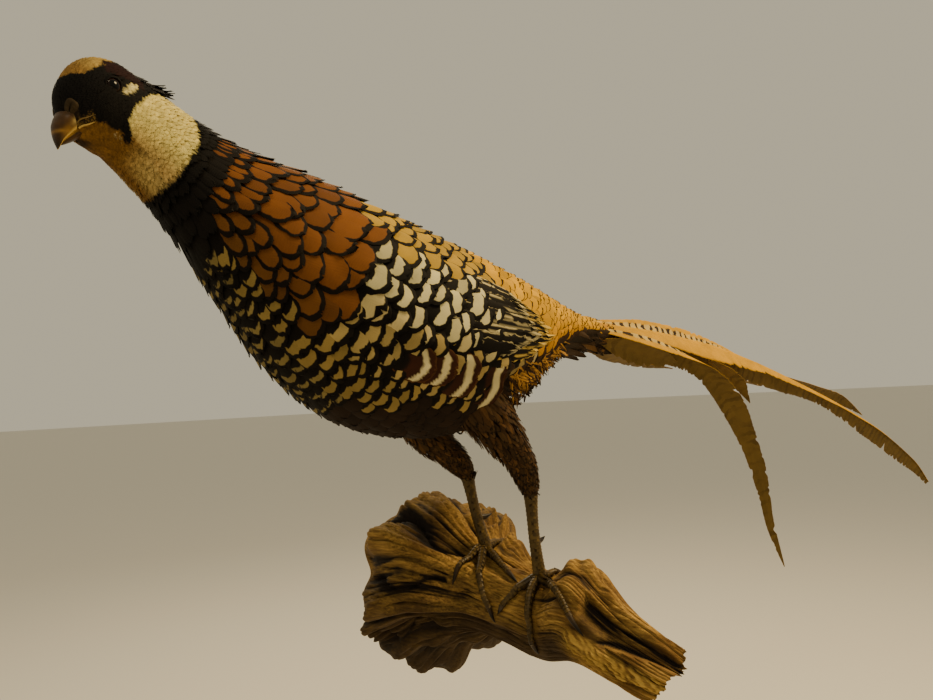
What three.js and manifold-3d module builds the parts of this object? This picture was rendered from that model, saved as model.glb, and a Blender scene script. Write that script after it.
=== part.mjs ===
// A mounted Reeves's pheasant cock, standing on a driftwood root that is fixed to a wall.
// Millimetres, +Z up. The root's flat sawn back lies in the plane y = 0, which is the wall,
// with the origin in the middle of it. The bird faces -X, its left side is towards -Y,
// and its tail runs towards +X.
import * as THREE from "three";
import { mergeVertices } from "three/addons/utils/BufferGeometryUtils.js";
import Module from "manifold-3d";

const wasm = await Module();
wasm.setup();

// ---------------------------------------------------------------- driving dimensions

const GAP = 0.35; // between pieces that touch on the real mount
const BIRD_YAW = -8.7; // degrees: the tail swings a little away from the wall
const BIRD_STAND_OFF = 150; // wall to the bird's middle plane, at x = 0

// The bird's outer coat, from the bill's base over the head and back to the root of the tail.
// Each station is a slanted section: its top and bottom in the bird's middle plane, and half
// its width.
const STATIONS = [
  { top: [-389.5, 356], bottom: [-377, 342], half: 8.5 }, // bill base
  { top: [-391, 367], bottom: [-375, 341], half: 11.5 }, // forehead
  { top: [-388.5, 376.5], bottom: [-372, 340], half: 14.5 },
  { top: [-382, 388], bottom: [-369, 339], half: 17.5 },
  { top: [-371, 396], bottom: [-366, 337.5], half: 19.5 }, // eyes
  { top: [-356.5, 397.5], bottom: [-361, 336], half: 20.5 }, // crown
  { top: [-341.5, 392], bottom: [-356.5, 332.5], half: 21.5 },
  { top: [-325.5, 385.5], bottom: [-350, 328], half: 23.5 }, // nape
  { top: [-311, 378.5], bottom: [-342.5, 321.5], half: 26 },
  { top: [-298, 372], bottom: [-334.5, 314], half: 29 }, // end of the white collar
  { top: [-271, 360.5], bottom: [-314, 288], half: 37 },
  { top: [-226, 350], bottom: [-287, 250], half: 52 }, // shoulders
  { top: [-184, 338], bottom: [-252, 203], half: 64 },
  { top: [-137, 324], bottom: [-197, 162], half: 71 },
  { top: [-86, 308], bottom: [-119, 147], half: 72 }, // deepest
  { top: [-28, 290], bottom: [-54, 164], half: 60 },
  { top: [23, 272], bottom: [6, 203], half: 40 }, // rump
  { top: [60, 260], bottom: [56, 219], half: 25 },
  { top: [94, 254], bottom: [94, 226], half: 16 }, // tail root
];
const HEAD_ENDS = 6.6; // in stations
const NECK_ENDS = 10.4;
const TRUNK_ENDS = 16.3;
const PEAR = 0.08; // how much wider a section is below its middle than above

const HEAD_TURN = 13.4; // degrees to the bird's left
const HEAD_PIVOT_X = -325;
const TURN_FULL_AT = 6; // in stations
const TURN_NONE_AT = 10.5;

// The two halves of the bill, each between an upper and a lower outline, from its base to its tip.
const BILL = {
  upper: {
    upper: [[-389.4, 355.8], [-391.6, 348.6], [-391.2, 341], [-389.3, 334.8]],
    lower: [[-375, 351.8], [-381.2, 345.6], [-386.2, 339.9], [-388.8, 334]],
    halves: [10.4, 8.4, 4.6, 0.9],
  },
  lower: {
    upper: [[-375.2, 350.6], [-381, 344.5], [-385.6, 339.2], [-387, 338.2]],
    lower: [[-376.2, 344.4], [-380.2, 341.2], [-384.3, 338], [-386.6, 337.2]],
    halves: [9, 7.2, 4, 1.2],
  },
};

const EYE = { x: -364, z: 375, out: 13.7, radius: 5.8 };

// Leg joints from hip to hock and the sole, in the bird's own frame; y is away from its middle plane.
const LEGS = {
  left: {
    side: -1,
    joints: [[-96, 34, 180], [-62, 36, 143], [-45, 34, 121], [-36, 32, 97]],
    foot: [-38, 32, 20],
    perch: 20, // degrees round the root from its top
  },
  right: {
    side: 1,
    joints: [[-118, 34, 184], [-90, 36, 147], [-66, 34, 126], [-53, 32, 111]],
    foot: [-44, 32, 42],
    perch: 14,
  },
};
const THIGH_RADII = [25, 22, 15, 12, 8.2]; // feathered, from the hip down to the hock
const SHANK_RADII = [6.2, 4.8, 4.8, 5.6]; // from the hock to the foot
const SHANK_DEPTH = 1.15; // a shank is this much deeper than it is wide
const SPUR = { along: 0.6, length: 14, inward: 3, up: 2, radius: 2.6 };
const TOE = { base: 4.3, tip: 2.6, claw: 2.1 }; // radii
const PALM_RADIUS = 6.4;
const CLAW_LENGTH = 12;
// How far each toe turns down round the root (degrees) and strays along it (mm towards the wall).
const TOES = {
  left: { hind: [-30, -3], inner: [54, 25], middle: [86, -6], outer: [50, -52] },
  right: { hind: [-32, 4], inner: [18, -34], middle: [70, -24], outer: [38, 6] },
};

// The driftwood root, from the wall out: the middle and half size of its section.
const ROOT_STATIONS = [
  { y: 0, x: 6, z: -14, wide: 88, tall: 74 },
  { y: -35, x: 6, z: -5, wide: 104, tall: 77 },
  { y: -70, x: -4, z: 4, wide: 84, tall: 59 },
  { y: -105, x: -14, z: 0, wide: 50, tall: 40 },
  { y: -140, x: -16, z: -8, wide: 38, tall: 35 },
  { y: -180, x: -20, z: -14, wide: 35, tall: 34 },
  { y: -215, x: -27, z: -4, wide: 37, tall: 38 },
  { y: -250, x: -36, z: -18, wide: 31, tall: 27 },
  { y: -288, x: -42, z: -31, wide: 26, tall: 19 },
];
const ROOT_LENGTH = 288;
const ROOT_HALF = 33; // half of its thickness where the feet stand

// Tail feathers, in the bird's frame. The shaft runs through its points from root to tip. The two
// sides slope like a roof, each feather tilted about its shaft by the first angle at its root and
// by the second at its tip.
const TAIL_FEATHERS = {
  tail_central_left: {
    shaft: [
      [97, -6, 246], [237, -19, 231], [378, -24, 205], [500, -27, 173],
      [644, -29, 131], [817, -30, 61], [916, -30, 0],
    ],
    width: 44, tilt: [36, 52],
  },
  tail_central_right: {
    shaft: [
      [97, 6, 251], [245, 14, 246], [347, 17, 230], [404, 19, 217],
      [559, 22, 184], [722, 23, 153], [807, 24, 118],
    ],
    width: 42, tilt: [-38, -44],
  },
  tail_inner_left: {
    shaft: [
      [97, -9, 233], [145, -27, 218], [200, -33, 203], [250, -36, 183], [290, -35, 153],
      [317, -33, 127], [340, -34, 87], [354, -34, 45], [364, -34, 5], [389, -34, -46],
    ],
    width: 38, tilt: [48, 112],
  },
  tail_inner_right: {
    shaft: [[97, 8, 240], [190, 20, 224], [330, 26, 202], [500, 28, 166]],
    width: 34, tilt: [-48, -56],
  },
  tail_outer_left: {
    shaft: [[97, -10, 228], [150, -19, 214], [207, -22, 199]],
    width: 25, tilt: [60, 66],
  },
  tail_outer_right: {
    shaft: [[97, 9, 232], [160, 19, 217], [275, 28, 202]],
    width: 26, tilt: [-60, -66],
  },
};

// ---------------------------------------------------------------- colours

const finish = (color, roughness) =>
  new THREE.MeshStandardMaterial({ color, roughness, metalness: 0 });
const FINISH = {
  white: finish(0xe4dca8, 0.9),
  black: finish(0x14100b, 0.85),
  chestnut: finish(0xa0672a, 0.8),
  rump: finish(0xc08a2c, 0.8),
  wing: finish(0xcbc08c, 0.8),
  tail: finish(0x9a7a3c, 0.75),
  thigh: finish(0x2c1a0d, 0.9),
  shank: finish(0x5a4f38, 0.6),
  horn: finish(0x6f5c30, 0.35),
  claw: finish(0x3a2f20, 0.4),
  glass: finish(0x120a06, 0.05),
  wood: finish(0x7b6140, 0.9),
};

// ---------------------------------------------------------------- small tools

const { sin, cos, hypot, max, min, abs, PI } = Math;
const rad = THREE.MathUtils.degToRad;
const lerp = THREE.MathUtils.lerp;
const smooth = THREE.MathUtils.smoothstep;
const range = (count, f) => Array.from({ length: count }, (_, i) => f(i, i / (count - 1)));

/** A smooth value through evenly spaced ones, at place t among them (Catmull-Rom). */
function through(values, t) {
  const i = min(max(Math.floor(t), 0), values.length - 2);
  const at = (k) => values[min(max(k, 0), values.length - 1)];
  const [a, b, c, d] = [at(i - 1), at(i), at(i + 1), at(i + 2)];
  const u = t - i;
  return b + 0.5 * u * (c - a + u * (2 * a - 5 * b + 4 * c - d + u * (3 * (b - c) + d - a)));
}

/** A closed body through rings of points, with a fan over each end. */
function loft(rings) {
  const count = rings[0].length;
  const middle = (ring) =>
    ring.reduce((sum, p) => sum.add(p), new THREE.Vector3()).divideScalar(count);
  const points = [...rings.flat(), middle(rings[0]), middle(rings.at(-1))];
  const faces = [];
  for (let r = 0; r + 1 < rings.length; r++)
    for (let k = 0; k < count; k++) {
      const [a, b] = [r * count + k, r * count + ((k + 1) % count)];
      faces.push([a, b, b + count], [a, b + count, a + count]);
    }
  const last = (rings.length - 1) * count;
  for (let k = 0; k < count; k++) {
    const next = (k + 1) % count;
    faces.push([points.length - 2, next, k], [points.length - 1, last + k, last + next]);
  }
  const volume = faces.reduce(
    (sum, [a, b, c]) => sum + points[a].dot(points[b].clone().cross(points[c])),
    0,
  );
  if (volume < 0) faces.forEach((face) => face.reverse());
  const geometry = new THREE.BufferGeometry().setFromPoints(points);
  return geometry.setIndex(faces.flat());
}

/** A tube through points with a radius at each, an oval of the given depth, closed at both ends. */
function taperedTube(points, radii, { sides = 10, steps = 12, depth = 1, grow = 0 } = {}) {
  const curve = new THREE.CatmullRomCurve3(points);
  const frames = curve.computeFrenetFrames(steps);
  const rings = range(steps + 1, (i, u) => {
    const centre = curve.getPoint(u);
    const radius = through(radii, u * (radii.length - 1)) + grow;
    return range(sides + 1, (k, turn) => {
      const out = frames.normals[i].clone().multiplyScalar(cos(2 * PI * turn) * radius * depth);
      out.addScaledVector(frames.binormals[i], sin(2 * PI * turn) * radius);
      return out.add(centre);
    }).slice(0, sides);
  });
  return loft(rings);
}

function solidOf(geometry) {
  const bare = geometry.clone();
  bare.deleteAttribute("normal");
  bare.deleteAttribute("uv");
  const merged = mergeVertices(bare, 1e-4);
  const mesh = new wasm.Mesh({
    numProp: 3,
    vertProperties: merged.attributes.position.array,
    triVerts: new Uint32Array(merged.index.array),
  });
  return new wasm.Manifold(mesh);
}

function geometryOf(solid) {
  const mesh = solid.getMesh();
  return new THREE.BufferGeometry()
    .setAttribute("position", new THREE.BufferAttribute(mesh.vertProperties, 3))
    .setIndex(new THREE.BufferAttribute(mesh.triVerts, 1));
}

const join = (...geometries) =>
  geometryOf(geometries.map(solidOf).reduce((all, one) => all.add(one)));
/** What the cutters leave of a body; loose slivers that a cut parts from it are dropped. */
function cut(geometry, ...cutters) {
  const left = cutters.map(solidOf).reduce((rest, one) => rest.subtract(one), solidOf(geometry));
  const bodies = left.decompose();
  return geometryOf(bodies.reduce((most, one) => (one.volume() > most.volume() ? one : most)));
}

function piece(name, geometry, material) {
  const shaded = geometry.toNonIndexed();
  shaded.computeVertexNormals();
  const mesh = new THREE.Mesh(shaded, material);
  mesh.name = name;
  return mesh;
}

// ---------------------------------------------------------------- head, neck and trunk

/** Turns a point with the head, about an upright axis through the neck. */
function turned(point, t) {
  const turn = rad(HEAD_TURN) * (1 - smooth(t, TURN_FULL_AT, TURN_NONE_AT));
  const x = point.x - HEAD_PIVOT_X;
  const y = point.y;
  point.x = HEAD_PIVOT_X + x * cos(turn) - y * sin(turn);
  point.y = x * sin(turn) + y * cos(turn);
  return point;
}

/** The coat at station t, and at an angle from the back: PI / 2 is the bird's left flank. */
function coatPoint(t, angle, grow = 0) {
  const value = (read) => through(STATIONS.map(read), t);
  const top = [value((s) => s.top[0]), value((s) => s.top[1])];
  const bottom = [value((s) => s.bottom[0]), value((s) => s.bottom[1])];
  const half = value((s) => s.half);
  const up = [(top[0] - bottom[0]) / 2, (top[1] - bottom[1]) / 2];
  const height = hypot(...up);
  const rise = (cos(angle) * (height + grow)) / height;
  const width = (half + grow) * sin(angle) * (1 - PEAR * cos(angle));
  const point = new THREE.Vector3(
    (top[0] + bottom[0]) / 2 + up[0] * rise,
    -width,
    (top[1] + bottom[1]) / 2 + up[1] * rise,
  );
  return turned(point, t);
}

function coatLength(from, to, { steps, sides = 24, grow = 0 }) {
  const rings = range(steps + 1, (_, u) =>
    range(sides + 1, (_k, turn) => coatPoint(lerp(from, to, u), 2 * PI * turn, grow)).slice(0, sides),
  );
  return loft(rings);
}

const CUT = 0.03; // in stations, half of the parting between two lengths of the coat

const trunkGeometry = (grow = 0) =>
  coatLength(NECK_ENDS + CUT, TRUNK_ENDS - CUT, { steps: 12, sides: 28, grow });

function eyeGeometry(side, grow = 0) {
  const ball = new THREE.SphereGeometry(EYE.radius + grow, 11, 7);
  const centre = turned(new THREE.Vector3(EYE.x, side * EYE.out, EYE.z), 0);
  return ball.translate(centre.x, centre.y, centre.z);
}

/** One half of the bill: oval sections between its upper and its lower outline. */
function billGeometry({ upper, lower, halves }, grow = 0) {
  const last = upper.length - 1;
  const rings = range(8, (_, u) => {
    const value = (list, k) => through(list.map((p) => p[k]), u * last);
    const half = through(halves, u * last) + grow;
    const rise = [0, 1].map((k) => (value(upper, k) - value(lower, k)) / 2);
    const more = 1 + grow / hypot(...rise);
    return range(13, (_k, turn) => {
      const up = cos(2 * PI * turn) * more;
      const point = new THREE.Vector3(
        value(lower, 0) + rise[0] * (1 + up),
        -half * sin(2 * PI * turn),
        value(lower, 1) + rise[1] * (1 + up),
      );
      return turned(point, 0);
    }).slice(0, 12);
  });
  return loft(rings);
}

function makeHead() {
  const coat = coatLength(0, HEAD_ENDS - CUT, { steps: 10, sides: 20 });
  const eyes = [-1, 1].map((side) => eyeGeometry(side));
  const sockets = [-1, 1].map((side) => eyeGeometry(side, GAP));
  const bills = [billGeometry(BILL.upper), billGeometry(BILL.lower)];
  const seats = [billGeometry(BILL.upper, GAP), billGeometry(BILL.lower, GAP)];
  const head = piece("head", cut(coat, ...sockets, ...seats), FINISH.black);
  const left = piece("eye_left", eyes[0], FINISH.glass);
  const right = piece("eye_right", eyes[1], FINISH.glass);
  const nape = taperedTube(
    [[-346, 0, 384], [-331, 0, 391], [-313, 0, 392]].map((p) => turned(new THREE.Vector3(...p), 6)),
    [7, 5, 0.8],
    { sides: 7, steps: 4 },
  );
  const tuft = cut(nape, coatLength(4, 9, { steps: 10, grow: GAP }));
  return [
    head,
    left,
    right,
    piece("bill_upper", bills[0], FINISH.horn),
    piece("bill_lower", cut(bills[1], seats[0]), FINISH.horn),
    piece("nape_tuft", tuft, FINISH.black),
  ];
}

// ---------------------------------------------------------------- wings

const WING = { from: 11.5, to: 15.1, middle: [72, 92], half: 33, lift: 8, thick: 6, edge: 0.9 };

/** A folded wing: a shell over the flank that thins to its edges and stands off behind. */
function wingGeometry(side) {
  const [columns, rows] = [10, 7];
  const layer = (outer) =>
    range(columns + 1, (_, u) =>
      range(rows + 1, (_k, v) => {
        const across = 2 * v - 1;
        const spread = WING.half * sin(PI * lerp(0.12, 0.94, u)) ** 0.6;
        const angle = rad(lerp(...WING.middle, u) + spread * across);
        const t = lerp(WING.from, WING.to, u) - 0.25 * across * (1 - u);
        const off = 0.6 + WING.lift * smooth(u, 0.45, 1);
        const crown = Math.sqrt(max(0, 1 - across ** 2)) * sin(PI * lerp(0.1, 0.96, u));
        const thick = WING.edge + WING.thick * crown;
        return coatPoint(t, side * -angle, off + (outer ? thick : 0));
      }),
    );
  const [inner, outer] = [layer(false), layer(true)];
  const rings = range(columns + 1, (i) => [...outer[i], ...inner[i].reverse()]);
  return loft(rings);
}

// ---------------------------------------------------------------- driftwood root

/** The root's surface at a distance from the wall, and at an angle from its top: 90 is towards -X. */
function rootPoint(y, degrees, grow = 0) {
  const place = ROOT_STATIONS.findIndex((s, i) => y >= ROOT_STATIONS[i + 1]?.y);
  const i = place < 0 ? ROOT_STATIONS.length - 2 : place;
  const u = (ROOT_STATIONS[i].y - y) / (ROOT_STATIONS[i].y - ROOT_STATIONS[i + 1].y);
  const value = (key) => through(ROOT_STATIONS.map((s) => s[key]), i + u);
  const angle = rad(degrees);
  const crown = 1 - smooth(-y, 60, 120); // the burl next to the wall is lumpier
  const lumps = 0.09 * cos(2 * (angle - rad(38))) + 0.05 * sin(5 * angle - 1.4 - y / 45);
  const ridges = 0.035 * sin(9 * angle + y / 70) + 0.025 * sin(14 * angle - y / 110 + 1);
  const swell = 1 + crown * lumps + ridges * (0.6 + 0.4 * crown);
  const square = max(abs(cos(angle)), abs(sin(angle))) ** -0.28;
  const size = swell * square;
  return new THREE.Vector3(
    value("x") - sin(angle) * (value("wide") * size + grow),
    y,
    value("z") + cos(angle) * (value("tall") * size + grow),
  );
}

function rootGeometry() {
  const [sides, steps] = [34, 17];
  const rings = range(steps + 1, (_, u) =>
    range(sides + 1, (_k, turn) => {
      const degrees = 360 * turn;
      const aslant = 17 * (sin(rad(degrees)) + cos(rad(degrees))); // the end is broken off aslant
      const torn = aslant + 2 * sin(rad(2 * degrees + 60));
      const point = rootPoint(-ROOT_LENGTH * u, degrees);
      point.y -= torn * smooth(u, 0.78, 1);
      return point;
    }).slice(0, sides),
  );
  return loft(rings);
}

// ---------------------------------------------------------------- legs and feet

const bird = new THREE.Group();
bird.rotation.z = rad(BIRD_YAW);
bird.position.y = -BIRD_STAND_OFF;
bird.updateMatrix();
const toBird = bird.matrix.clone().invert();

/** The middle line of a toe over the root, from one share of its length to another. */
function toePath(foot, [turn, aside], from, to) {
  return range(5, (_, u) => {
    const w = lerp(from, to, u);
    const lift = lerp(TOE.base, TOE.tip, w) + GAP;
    return rootPoint(foot.y + aside * w, foot.angle + turn * w, lift).applyMatrix4(toBird);
  });
}

function makeFoot(name, foot) {
  const palm = (grow) => {
    const centre = rootPoint(foot.y, foot.angle, TOE.base).applyMatrix4(toBird);
    return new THREE.SphereGeometry(PALM_RADIUS + grow, 8, 5).translate(...centre);
  };
  const radii = [1, 1, 0.84, 0.64, 0.6].map((share) => share * TOE.base);
  const toes = (grow) =>
    Object.values(TOES[name]).map((toe) =>
      taperedTube(toePath(foot, toe, 0, 1), radii, { sides: 6, steps: 5, grow }),
    );
  const grown = join(palm(GAP), ...toes(GAP));
  const claws = Object.entries(TOES[name]).map(([toeName, toe]) => {
    const reach = CLAW_LENGTH / hypot(rad(toe[0]) * ROOT_HALF, toe[1]);
    const path = toePath(foot, toe, 1.03, 1 + reach);
    const claw = taperedTube(path, [1, 0.9, 0.6, 0.25].map((share) => share * TOE.claw), {
      sides: 6,
      steps: 3,
    });
    return piece(`claw_${name}_${toeName}`, cut(claw, grown), FINISH.claw);
  });
  return { mesh: piece(`foot_${name}`, join(palm(0), ...toes(0)), FINISH.shank), grown, claws };
}

function makeLeg(name, leg) {
  const at = ([x, y, z]) => new THREE.Vector3(x, leg.side * y, z);
  const [ankle, ...joints] = [leg.foot, ...leg.joints].map(at);
  const hock = joints.at(-1);
  const down = ankle.clone().sub(hock).normalize();

  const thigh = taperedTube(joints, THIGH_RADII, { sides: 12, steps: 7 });

  const ankleInPart = ankle.clone().applyMatrix4(bird.matrix);
  const foot = { y: ankleInPart.y, angle: leg.perch };
  const { mesh: footMesh, grown: footGrown, claws } = makeFoot(name, foot);

  const top = hock.clone().addScaledVector(down, GAP);
  const sole = rootPoint(foot.y, foot.angle, TOE.base).applyMatrix4(toBird);
  const middle = top.clone().lerp(sole, 0.5).add(new THREE.Vector3(-1.5, 0, 0));
  const shankTube = (grow) =>
    taperedTube([top, middle, sole], SHANK_RADII, { sides: 9, steps: 6, depth: SHANK_DEPTH, grow });

  const spurRoot = top.clone().lerp(sole, SPUR.along);
  const spurTip = spurRoot.clone().add(new THREE.Vector3(SPUR.length, -leg.side * SPUR.inward, SPUR.up));
  const spurPath = [spurRoot, spurRoot.clone().lerp(spurTip, 0.5), spurTip];
  const spur = taperedTube(spurPath, [1, 0.7, 0.2].map((share) => share * SPUR.radius), {
    sides: 6,
    steps: 3,
  });
  return {
    pressed: [footGrown, ...claws.map((claw) => claw.geometry)],
    meshes: [
      piece(`thigh_${name}`, cut(thigh, trunkGeometry(GAP), shankTube(GAP)), FINISH.thigh),
      piece(`shank_${name}`, cut(shankTube(0), footGrown), FINISH.shank),
      piece(`spur_${name}`, cut(spur, shankTube(GAP)), FINISH.claw),
      footMesh,
      ...claws,
    ],
  };
}

// ---------------------------------------------------------------- tail

/** One feather: a thin vane with a raised shaft, tilted about it like one slope of a roof. */
function featherGeometry({ shaft, width, tilt }) {
  const curve = new THREE.CatmullRomCurve3(shaft.map((p) => new THREE.Vector3(...p)));
  const steps = Math.round(lerp(8, 20, min(1, curve.getLength() / 900)));
  const rings = range(steps + 1, (_, u) => {
    const centre = curve.getPointAt(u);
    const along = curve.getTangentAt(u);
    const level = new THREE.Vector3(0, 0, 1).cross(along).normalize();
    const face = along.clone().cross(level);
    const angle = rad(lerp(...tilt, u));
    const aside = level.clone().multiplyScalar(cos(angle)).addScaledVector(face, sin(angle));
    const up = along.clone().cross(aside);
    const taper = smooth(u, 0, 0.12) * (1 - smooth(u, 0.35, 1.08)) ** 0.5;
    const half = max(2.2, (width / 2) * taper);
    const section = [[-1, 0.3], [0, 0.9], [1, 0.3], [1, -0.3], [0, -0.6], [-1, -0.3]];
    return section.map(([a, b]) =>
      centre.clone().addScaledVector(aside, a * half).addScaledVector(up, b));
  });
  return loft(rings);
}

// ---------------------------------------------------------------- the whole mount

const group = new THREE.Group();
group.add(bird);

bird.add(...makeHead());
bird.add(piece("neck", coatLength(HEAD_ENDS + CUT, NECK_ENDS - CUT, { steps: 7 }), FINISH.white));
bird.add(piece("trunk", trunkGeometry(), FINISH.chestnut));
bird.add(piece("rump", coatLength(TRUNK_ENDS + CUT, STATIONS.length - 1, { steps: 5 }), FINISH.rump));
bird.add(piece("wing_left", wingGeometry(-1), FINISH.wing));
bird.add(piece("wing_right", wingGeometry(1), FINISH.wing));

const legs = Object.entries(LEGS).map(([name, leg]) => makeLeg(name, leg));
for (const leg of legs) bird.add(...leg.meshes);

for (const [name, feather] of Object.entries(TAIL_FEATHERS))
  bird.add(piece(name, featherGeometry(feather), FINISH.tail));

const pressed = legs.flatMap((leg) => leg.pressed).map((g) => g.clone().applyMatrix4(bird.matrix));
group.add(piece("driftwood", cut(rootGeometry(), ...pressed), FINISH.wood));

export default group;
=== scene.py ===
# %% [markdown]
# # A Reeves's pheasant cock on a driftwood root
# A museum bird is a real feathered skin drawn over a carved body, with glass eyes. Its legs are
# wired to a piece of driftwood, and the wood is fixed to a wall. The solid model gives each
# part its place and outline. Here the bird gets one skin, then its feathers, vane by vane,
# and the root gets its grain.

# %% The frame that everything is built around
import math

import bpy
import numpy as np
from mathutils import Matrix, Vector


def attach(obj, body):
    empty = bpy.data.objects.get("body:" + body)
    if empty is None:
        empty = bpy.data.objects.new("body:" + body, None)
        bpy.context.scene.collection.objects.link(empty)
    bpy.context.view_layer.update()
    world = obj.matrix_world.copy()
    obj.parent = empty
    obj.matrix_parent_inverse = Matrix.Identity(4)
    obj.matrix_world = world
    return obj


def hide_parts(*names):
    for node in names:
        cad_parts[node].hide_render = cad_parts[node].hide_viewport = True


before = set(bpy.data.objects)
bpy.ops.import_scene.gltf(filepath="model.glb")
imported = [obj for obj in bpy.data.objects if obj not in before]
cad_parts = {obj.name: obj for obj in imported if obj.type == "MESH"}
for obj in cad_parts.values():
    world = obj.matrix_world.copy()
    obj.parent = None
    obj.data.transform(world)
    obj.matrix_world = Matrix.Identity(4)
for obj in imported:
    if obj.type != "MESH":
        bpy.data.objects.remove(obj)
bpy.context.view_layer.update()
rng = np.random.default_rng(11)
MM = 0.001

# %% [markdown]
# ## Curves and surfaces
# Every shape below is a function of two numbers, worked out for a whole grid at once. A few
# named sizes along the bird are joined by a smooth curve, so that the same short tables give
# the skin, the place of each feather and the markings.

# %% Smooth values through a table
def through(values, t):
    """Catmull-Rom: a cubic through evenly spaced rows, whose slope at a row is half the
    difference of its two neighbours."""
    values = np.asarray(values, float)
    last = len(values) - 1
    t = np.asarray(t, float)
    i = np.clip(np.floor(t).astype(int), 0, last - 1)
    u = (t - i)[..., None] if values.ndim > 1 else t - i
    a, b, c, d = (values[np.clip(i + k, 0, last)] for k in (-1, 0, 1, 2))
    return b + 0.5 * u * (c - a + u * (2 * a - 5 * b + 4 * c - d + u * (3 * (b - c) + d - a)))


def smooth(x, low, high):
    """0 below low and 1 above high, with a level start and end: 3u^2 - 2u^3."""
    u = np.clip((np.asarray(x, float) - low) / (high - low), 0, 1)
    return u * u * (3 - 2 * u)


def lerp(a, b, u):
    """a at u = 0 and b at u = 1, in a straight line: a + (b - a) u."""
    return a + (b - a) * u


def unit(vectors):
    """Each vector divided by its length."""
    return vectors / np.maximum(np.linalg.norm(vectors, axis=-1, keepdims=True), 1e-12)


# %% The bird's own frame
BIRD_YAW = math.radians(-8.7)
STAND_OFF = 150.0  # mm from the wall to the bird's middle plane


def to_part(points):
    """Turns bird millimetres by the yaw about Z, moves them off the wall, and gives metres."""
    c, s = math.cos(BIRD_YAW), math.sin(BIRD_YAW)
    x, y, z = points[..., 0], points[..., 1], points[..., 2]
    return np.stack([c * x - s * y, s * x + c * y - STAND_OFF, z], -1) * MM


def to_bird(points):
    """The way back: part millimetres to bird millimetres."""
    c, s = math.cos(BIRD_YAW), math.sin(BIRD_YAW)
    x, y, z = points[..., 0], points[..., 1] + STAND_OFF, points[..., 2]
    return np.stack([c * x + s * y, -s * x + c * y, z], -1)


# %% The outer coat, station by station
# Top x and z, bottom x and z, and half width, in mm, from the bill's base to under the tail.
STATIONS = np.array([
    [-389.5, 356, -377, 342, 8.5], [-391, 367, -375, 341, 11.5], [-388.5, 376.5, -372, 340, 14.5],
    [-382, 388, -369, 339, 17.5], [-371, 396, -366, 337.5, 19.5], [-356.5, 397.5, -361, 336, 20.5],
    [-341.5, 392, -356.5, 332.5, 21.5], [-325.5, 385.5, -350, 328, 23.5],
    [-311, 378.5, -342.5, 321.5, 26], [-298, 372, -334.5, 314, 29], [-271, 360.5, -314, 288, 37],
    [-226, 350, -287, 250, 52], [-184, 338, -252, 203, 64], [-137, 324, -197, 162, 71],
    [-86, 308, -119, 147, 72], [-28, 290, -54, 164, 60], [23, 272, 6, 203, 40],
    [60, 260, 56, 219, 25], [94, 254, 94, 226, 16], [130, 248, 128, 228, 11],
])
PEAR = 0.08  # how much wider a section is below its middle than above
HEAD_TURN = math.radians(13.4)  # to the bird's left
HEAD_PIVOT_X = -325.0


def turned(points, t):
    """Turns points with the head about an upright axis: all of it up to station 6, none
    from station 10.5."""
    turn = HEAD_TURN * (1 - smooth(t, 6, 10.5))
    x, y = points[..., 0] - HEAD_PIVOT_X, points[..., 1]
    return np.stack([
        HEAD_PIVOT_X + x * np.cos(turn) - y * np.sin(turn),
        x * np.sin(turn) + y * np.cos(turn),
        points[..., 2],
    ], -1)


def coat(t, angle, grow=0.0):
    """The coat at station t and at an angle from the back, where pi / 2 is the left flank:
    middle + up * cos(angle) - width * sin(angle), both grown by the same amount."""
    t, angle, grow = np.broadcast_arrays(*(np.asarray(v, float) for v in (t, angle, grow)))
    row = through(STATIONS, t)
    top, bottom, half = row[..., 0:2], row[..., 2:4], row[..., 4]
    up = (top - bottom) / 2
    height = np.linalg.norm(up, axis=-1)
    rise = (np.cos(angle) * (height + grow) / height)[..., None]
    middle = (top + bottom) / 2 + up * rise
    width = (half + grow) * np.sin(angle) * (1 - PEAR * np.cos(angle))
    return turned(np.stack([middle[..., 0], -width, middle[..., 1]], -1), t)


def from_back(angle):
    """Degrees from the middle of the back, the same on both sides: 0 to 180."""
    return np.degrees(np.arccos(np.cos(angle)))


print("coat runs from", coat(0, 0).round(), "to", coat(18, 0).round())

# %% [markdown]
# ## Meshes
# One function puts numpy arrays into a mesh in one go. Each piece rides on the only body,
# and its place is in its mesh.

# %% From arrays to a mesh object
def grid_faces(rows, columns, closed=False, copies=1):
    """Quads (r, c), (r, c + 1), (r + 1, c + 1), (r + 1, c) of one or more grids in a row."""
    across = columns if closed else columns - 1
    r, c = np.meshgrid(np.arange(rows - 1), np.arange(across), indexing="ij")
    a, b = r * columns + c, r * columns + (c + 1) % columns
    quads = np.stack([a, b, b + columns, a + columns], -1).reshape(-1, 4)
    offsets = np.arange(copies)[:, None, None] * rows * columns
    return (quads[None] + offsets).reshape(-1, 4)


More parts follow.
